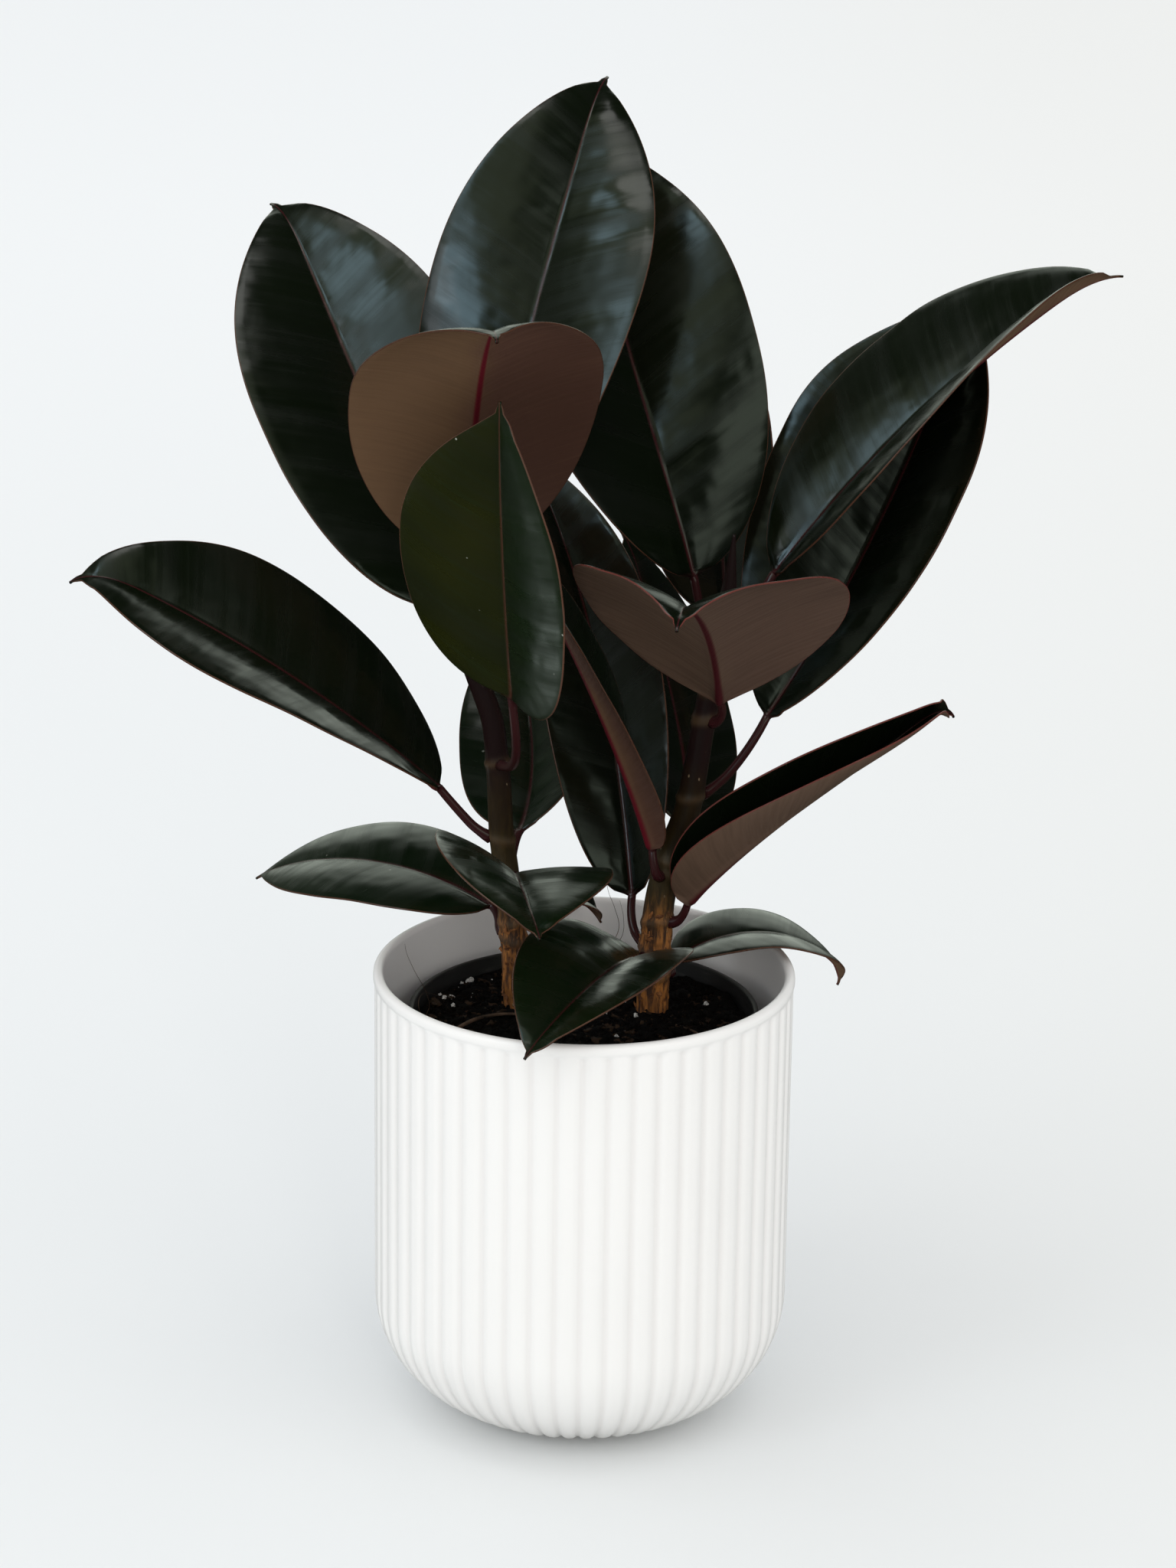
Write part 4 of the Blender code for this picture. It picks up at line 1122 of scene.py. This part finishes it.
@dataclass
class Leaf:
    """One leaf, lofted from inside its stem along the petiole and over the folded blade to its drip tip."""

    spec: LeafSpec
    stem: StemSpec
    petiole_rows: int = 16
    blade_rows: int = 84
    half_columns: int = 13
    thickness: float = 0.7
    margin_width: float = 0.5
    walk_steps: int = 3
    body_end: float = 0.96
    drip_width: float = 0.07
    tip_from: float = 0.965
    tip_share: float = 0.55
    hook_from: float = 0.8
    round_until: float = 0.012
    ripple_from: float = 6.0
    keel: float = 1.1
    keel_end: float = 0.15
    channel: float = 0.35
    foot_swell: float = 0.35
    swell_length: float = 3.0
    extra_rows: tuple = (0.004, 0.018, 0.93, 0.945, 0.955, 0.965, 0.975, 0.985)

    def blade_share(self, along: float, widest: float) -> float:
        """Half-width of the blade at a share of its length, as a share of its largest half-width."""
        place = 2 * min(along / self.body_end, 1.0) ** (math.log(0.5) / math.log(widest)) - 1
        if place < 0:
            body = (1 - (-place) ** 2.3) ** 0.55
        else:
            body = (1 - place ** 2.3) ** 0.95
        drip = self.drip_width * min((1 - along) / 0.08, 1.0) if along > 0.5 else 0.0
        return max(body, drip)

    def direction(self, petiole_share: float, blade_part: float) -> tuple[float, float]:
        """Heading and rise, in radians, at a share of the petiole or of the blade."""
        spec = self.spec
        if blade_part <= 0:
            heading = spec.heading[0] + (spec.heading[1] - spec.heading[0]) * petiole_share
            rise = spec.rise[0] + (spec.rise[1] - spec.rise[0]) * petiole_share
        else:
            heading = spec.heading[1] + (spec.heading[2] - spec.heading[1]) * blade_part
            rise = spec.rise[1] + (spec.rise[2] - spec.rise[1]) * blade_part
            rise += spec.hook * max(0.0, (blade_part - self.hook_from) / 0.2) ** 2
        return math.radians(heading), math.radians(rise)

    def walk(self) -> list[tuple]:
        """Follow the petiole and the blade.

        Returns:
            For each row: petiole share, blade share, point, sideways and up.
        """
        spec = self.spec
        rows = [(share, 0.0) for share in np.linspace(0, 1, self.petiole_rows)]
        blade = sorted(set(np.linspace(0, 1, self.blade_rows)) | set(self.extra_rows))
        rows += [(1.0, share) for share in blade[1:]]
        heading, rise = self.direction(0.0, 0.0)
        reach = self.stem.radius(spec.height) * 1.12 + spec.petiole_radius * math.sin(rise) + 0.3
        outward = np.array((math.cos(heading), math.sin(heading), 0.0))
        point = self.stem.centre(spec.height)
        before = rows[0]
        line = []
        for row in rows:
            for part in range(self.walk_steps):
                share = (part + 0.5) / self.walk_steps
                heading, rise = self.direction(*[a + (b - a) * share for a, b in zip(before, row)])
                length = (row[0] - before[0]) * spec.petiole + (row[1] - before[1]) * spec.length
                length *= self.tip_share if row[1] > self.tip_from else 1.0
                ahead = np.array((math.cos(rise) * math.cos(heading), math.cos(rise) * math.sin(heading),
                                  math.sin(rise)))
                point = point + ahead * length / self.walk_steps
            heading, rise = self.direction(*row)
            side = np.array((-math.sin(heading), math.cos(heading), 0.0))
            up = np.array((-math.sin(rise) * math.cos(heading), -math.sin(rise) * math.sin(heading),
                           math.cos(rise)))
            roll = math.radians(spec.roll[0] + (spec.roll[1] - spec.roll[0]) * row[1])
            outside = point + outward * (reach * (1 - row[0]) - 2.4 * max(0.0, 1 - row[0] * 3) ** 2)
            line.append((row[0], row[1], outside, math.cos(roll) * side + math.sin(roll) * up,
                         math.cos(roll) * up - math.sin(roll) * side))
            before = row
        return line

    def section(self, part: float, point: np.ndarray, side: np.ndarray, up: np.ndarray,
                round_share: float, petiole_share: float) -> tuple[list, list]:
        """Make one section: the upper points and the lower points, from left to right.

        Args:
            part: Share of the blade's length.
            point: Centre of the section.
            side: Sideways direction.
            up: Direction of the upper face.
            round_share: How much of the round petiole the section keeps.
            petiole_share: Share of the petiole's length.

        Returns:
            Rows of (point, signed reach, margin share, rib share).
        """
        spec = self.spec
        half = max(spec.width / 2 * self.blade_share(part, spec.widest), 0.5)
        folded = min(1.0, half / 8.0)
        keel = spec.petiole_radius * self.keel * (1 - part) ** 0.8 + self.keel_end
        rib_half = spec.petiole_radius * (1.15 - 0.85 * part)
        swell = 1.0 + self.foot_swell * math.exp(-(petiole_share * spec.petiole / self.swell_length) ** 2)
        radius = spec.petiole_radius * (1.15 - 0.15 * petiole_share) * swell
        upper, lower = [], []
        rim = min(self.margin_width, half * 0.3)
        reaches = [(half - rim) * (k / self.half_columns) ** 1.2 for k in range(self.half_columns + 1)]
        reaches += [half - rim * 0.45, half]
        signed = [(1.0, reach) for reach in reaches[:0:-1]] + [(-1.0, reach) for reach in reaches]
        columns = len(signed)
        for j, (sign, reach) in enumerate(signed):
            fold = spec.fold[0] if sign > 0 else spec.fold[1]
            eased = min(1.0, reach / 1.4) if reach > 0 else 0.0
            lean = math.radians(fold * eased + spec.curl * reach / half / 2) * folded
            turn = math.radians(fold * eased + spec.curl * reach / half) * folded
            ripple = 0.0
            if half > self.ripple_from:
                seed = Vector((spec.length * 0.37 + sign * 5.0, part * spec.length / 21.0, 0.3))
                ripple = spec.wave * (reach / half) ** 2 * noise.noise(seed)
                ripple *= min(1.0, part * 8, (1 - part) * 8)
                ripple += spec.arch * half * math.sin(math.pi * reach / half)
            middle = point + side * sign * math.cos(lean) * reach + up * (math.sin(lean) * reach + ripple)
            normal = up * math.cos(turn) - side * sign * math.sin(turn)
            thick = self.thickness / 2 * (1.0 if reach < half - rim / 2 else 0.75)
            ridge = keel * math.exp(-(reach / rib_half) ** 2 * 1.6)
            channel = self.channel * math.exp(-(reach / rib_half) ** 2 * 2.2) * (1 - part)
            above = middle + normal * (thick - channel)
            below = middle - normal * (thick + ridge)
            angle = math.pi * (j + 0.5) / columns
            across = side * math.cos(angle) * radius
            above = above * (1 - round_share) + (point + across + up * math.sin(angle) * radius) * round_share
            below = below * (1 - round_share) + (point + across - up * math.sin(angle) * radius) * round_share
            edge = max(0.0, 1.0 - (half - reach) / rim) * min(1.0, (1 - part) * 30)
            rib = math.exp(-(reach / (rib_half * 0.9)) ** 2)
            upper.append((above, sign * reach, edge, rib))
            lower.append((below, sign * reach, edge, rib))
        return upper, lower

    def build(self) -> None:
        """Loft the leaf, mark its faces and give it its finish."""
        spec = self.spec
        points, faces, under, rows = [], [], [], []
        values = {key: [] for key in ("across", "along", "rib", "edge", "stalk")}
        for petiole_share, part, point, side, up in self.walk():
            on_stalk = part <= 0
            round_share = 1.0 if on_stalk else max(0.0, 1.0 - part / self.round_until) ** 2
            upper, lower = self.section(part, point, side, up, round_share, petiole_share)
            row = []
            for half_row in (upper, lower):
                numbers = []
                for place, reach, edge, rib in half_row:
                    numbers.append(len(points))
                    points.append(place)
                    values["across"].append(reach * MM)
                    values["along"].append(part * spec.length * MM)
                    values["rib"].append(rib)
                    values["edge"].append(0.0 if on_stalk else edge)
                    values["stalk"].append(round_share)
                row.append(numbers)
            rows.append(row)
        for index, ((top, low), (next_top, next_low)) in enumerate(zip(rows, rows[1:])):
            for j in range(len(top) - 1):
                faces.append([top[j], next_top[j], next_top[j + 1], top[j + 1]])
                faces.append([low[j + 1], next_low[j + 1], next_low[j], low[j]])
                under += [0, 1 if index >= self.petiole_rows - 1 else 0]
            faces.append([low[0], next_low[0], next_top[0], top[0]])
            faces.append([top[-1], next_top[-1], next_low[-1], low[-1]])
            under += [0, 0]
        for top, low in (rows[0], rows[-1][::-1]):
            faces.append(list(top) + list(low)[::-1])
            under.append(0)
        upper_finish, under_finish = FINISHES[spec.tone]
        piece = mesh_piece(spec.name.replace("leaf_", "blade_"), np.array(points), faces, upper_finish,
                           {key: np.array(numbers) for key, numbers in values.items()})
        piece.data.materials.append(under_finish)
        piece.data.polygons.foreach_set("material_index", under)
        cage = bmesh.new()
        cage.from_mesh(piece.data)
        bmesh.ops.recalc_face_normals(cage, faces=cage.faces)
        cage.to_mesh(piece.data)
        cage.free()
        dress(piece, "leaf_olive" if spec.tone is LeafTone.OLIVE else "leaf_dark", spec.name)


@dataclass(frozen=True)
class Pane:
    """A patch of the room that the gloss mirrors, with the cosines at which it starts and is full."""

    way: tuple
    starts: float
    full: float
    colour: Colour


@dataclass(frozen=True)
class Lamp:
    """A soft rectangular light, in metres and watts, and whether the gloss mirrors it."""

    name: str
    place: tuple
    size: tuple
    power: float
    colour: Colour
    mirrored: bool = True


@dataclass
class Studio:
    """The camera, the pale floor and the soft lights."""

    focal_px: float = 6062.0
    pitch: float = 18.8
    roll: float = 0.8
    target: tuple = (0.0, 0.0, 166.0)
    target_px: tuple = (763.1, 1263.8)
    depth: float = 1650.0
    image: tuple = (1536, 2048)
    panes: tuple = (Pane((0.0, 0.0, -1.0), 0.05, 0.4, (0.03, 0.03, 0.02)),
                    Pane((0.02, 0.95, 0.31), 0.86, 0.96, (0.95, 1.05, 0.92)),
                    Pane((0.48, -0.78, 0.41), 0.945, 0.98, (0.9, 1.05, 0.85)),
                    Pane((-0.3, -0.49, 0.82), 0.78, 0.95, (0.45, 0.52, 0.36)),
                    Pane((-0.47, -0.4, 0.79), 0.982, 0.993, (2.0, 2.8, 3.1)),
                    Pane((-0.48, -0.74, 0.47), 0.975, 0.992, (2.1, 3.1, 3.6)),
                    Pane((-0.72, 0.38, -0.57), 0.975, 0.995, (1.5, 1.7, 1.6)))
    lamps: tuple = (Lamp("window_left", (-2.3, -1.9, 1.7), (1.1, 1.3), 9.0, (0.84, 0.93, 1.0)),
                    Lamp("overhead", (-0.3, -0.2, 3.0), (1.0, 1.0), 6.0, (1.0, 1.0, 0.97)),
                    Lamp("card_front", (0.6, -3.0, 1.3), (0.5, 0.5), 8.0, (1.0, 0.98, 0.95), mirrored=False))
    lamp_aim: tuple = (0.0, 0.0, 0.25)
    floor_size: float = 30000.0
    sensor: float = 36.0

    def camera(self) -> None:
        """Place the camera where the view of the plant was measured to be."""
        pitch, roll = math.radians(self.pitch), math.radians(self.roll)
        forward = Vector((0.0, math.cos(pitch), -math.sin(pitch)))
        right = Vector((1.0, 0.0, 0.0))
        up = right.cross(forward)
        level = math.cos(roll) * right + math.sin(roll) * up
        lean = -math.sin(roll) * right + math.cos(roll) * up
        offset = [(self.target_px[axis] - self.image[axis] / 2) / self.focal_px * self.depth
                  for axis in (0, 1)]
        place = (Vector(self.target) - self.depth * forward - offset[0] * level + offset[1] * lean) * MM
        data = bpy.data.cameras.new("photo_camera")
        data.sensor_width = self.sensor
        data.lens = self.sensor * self.focal_px / self.image[1]
        data.clip_start, data.clip_end = 0.05, 60.0
        camera = bpy.data.objects.new("photo_camera", data)
        camera.matrix_world = Matrix.Translation(place) @ Matrix((level, lean, -forward)).transposed().to_4x4()
        bpy.context.scene.collection.objects.link(camera)
        bpy.context.scene.camera = camera

    def floor(self) -> None:
        """Lay the plain pale floor."""
        finish = bpy.data.materials.new("pale_floor")
        finish.use_nodes = True
        shader = finish.node_tree.nodes["Principled BSDF"]
        graph = Graph(finish.node_tree)
        place = graph.add("ShaderNodeSeparateXYZ", {0: graph.add("ShaderNodeTexCoord").outputs["Object"]})
        tone = graph.mix(graph.spread(place.outputs[1], 0.3, 2.2), (0.806, 0.822, 0.828),
                         (0.866, 0.88, 0.888))
        warm = graph.mix(graph.spread(place.outputs[0], -0.1, 0.5), (1.0, 1.0, 1.0), (0.985, 0.972, 0.95))
        graph.plug(shader.inputs["Base Color"], graph.mix(1.0, tone, warm, "MULTIPLY"))
        shader.inputs["Roughness"].default_value = 0.9
        shader.inputs["Specular IOR Level"].default_value = 0.1
        size = self.floor_size
        corners = np.array([(-size, -size, 0), (size, -size, 0), (size, size, 0), (-size, size, 0)])
        floor = mesh_piece("floor", corners, [[0, 1, 2, 3]], finish)
        floor.visible_glossy = False

    def hang(self, lamp: Lamp) -> None:
        """Hang one light, aimed at the plant."""
        data = bpy.data.lights.new(lamp.name, "AREA")
        data.shape = "RECTANGLE"
        data.size, data.size_y = lamp.size
        data.energy = lamp.power
        data.color = lamp.colour
        hung = bpy.data.objects.new(lamp.name, data)
        hung.location = lamp.place
        ahead = Vector(self.lamp_aim) - Vector(lamp.place)
        hung.rotation_euler = ahead.to_track_quat("-Z", "Y").to_euler()
        hung.visible_glossy = lamp.mirrored
        bpy.context.scene.collection.objects.link(hung)

    def surroundings(self) -> None:
        """Light the plant evenly from all round, and let its gloss see a room that darkens to the right."""
        world = bpy.data.worlds.new("soft_studio")
        world.use_nodes = True
        graph = Graph(world.node_tree)
        shade = world.node_tree.nodes["Background"]
        direction = graph.add("ShaderNodeTexCoord").outputs["Generated"]

        def facing(way: tuple) -> Socket:
            """How nearly a direction of view faces a way, from -1 to 1."""
            dot = graph.add("ShaderNodeVectorMath", {0: direction, 1: way}, operation="DOT_PRODUCT")
            return dot.outputs["Value"]

        room = graph.mix(graph.spread(facing((0.81, -0.14, 0.57)), 0.25, -0.45), (0.006, 0.008, 0.006),
                         (0.12, 0.135, 0.11))
        for pane in self.panes:
            room = graph.mix(graph.spread(facing(pane.way), pane.starts, pane.full), room, pane.colour)
        glossy = graph.add("ShaderNodeLightPath").outputs["Is Glossy Ray"]
        soft = graph.mix(graph.spread(facing((0.0, -1.0, 0.0)), -0.5, 0.8), (0.9, 0.93, 0.955),
                         (1.14, 1.125, 1.1))
        graph.plug(shade.inputs[0], graph.mix(glossy, soft, room))
        bpy.context.scene.world = world

    def build(self) -> None:
        """Set up the camera, the floor, the lights and the soft surrounding light."""
        self.camera()
        self.floor()
        self.surroundings()
        bpy.context.scene.view_settings.view_transform = "Standard"
        for lamp in self.lamps:
            self.hang(lamp)


def main() -> None:
    """Build the plant's pieces in order and report each."""
    logging.basicConfig(level=logging.INFO, format="%(message)s")
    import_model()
    Studio().build()
    CoverPot().build()
    NurseryPot().build()
    PottingSoil().build()
    stems = {spec.name: spec for spec in STEMS}
    for spec in STEMS:
        Stem(spec).build()
    for tone in LeafTone:
        FINISHES[tone] = [finish.build() for finish in tone.value]
    for spec in LEAVES:
        Leaf(spec, stems[spec.stem]).build()


if __name__ == "__main__":
    main()
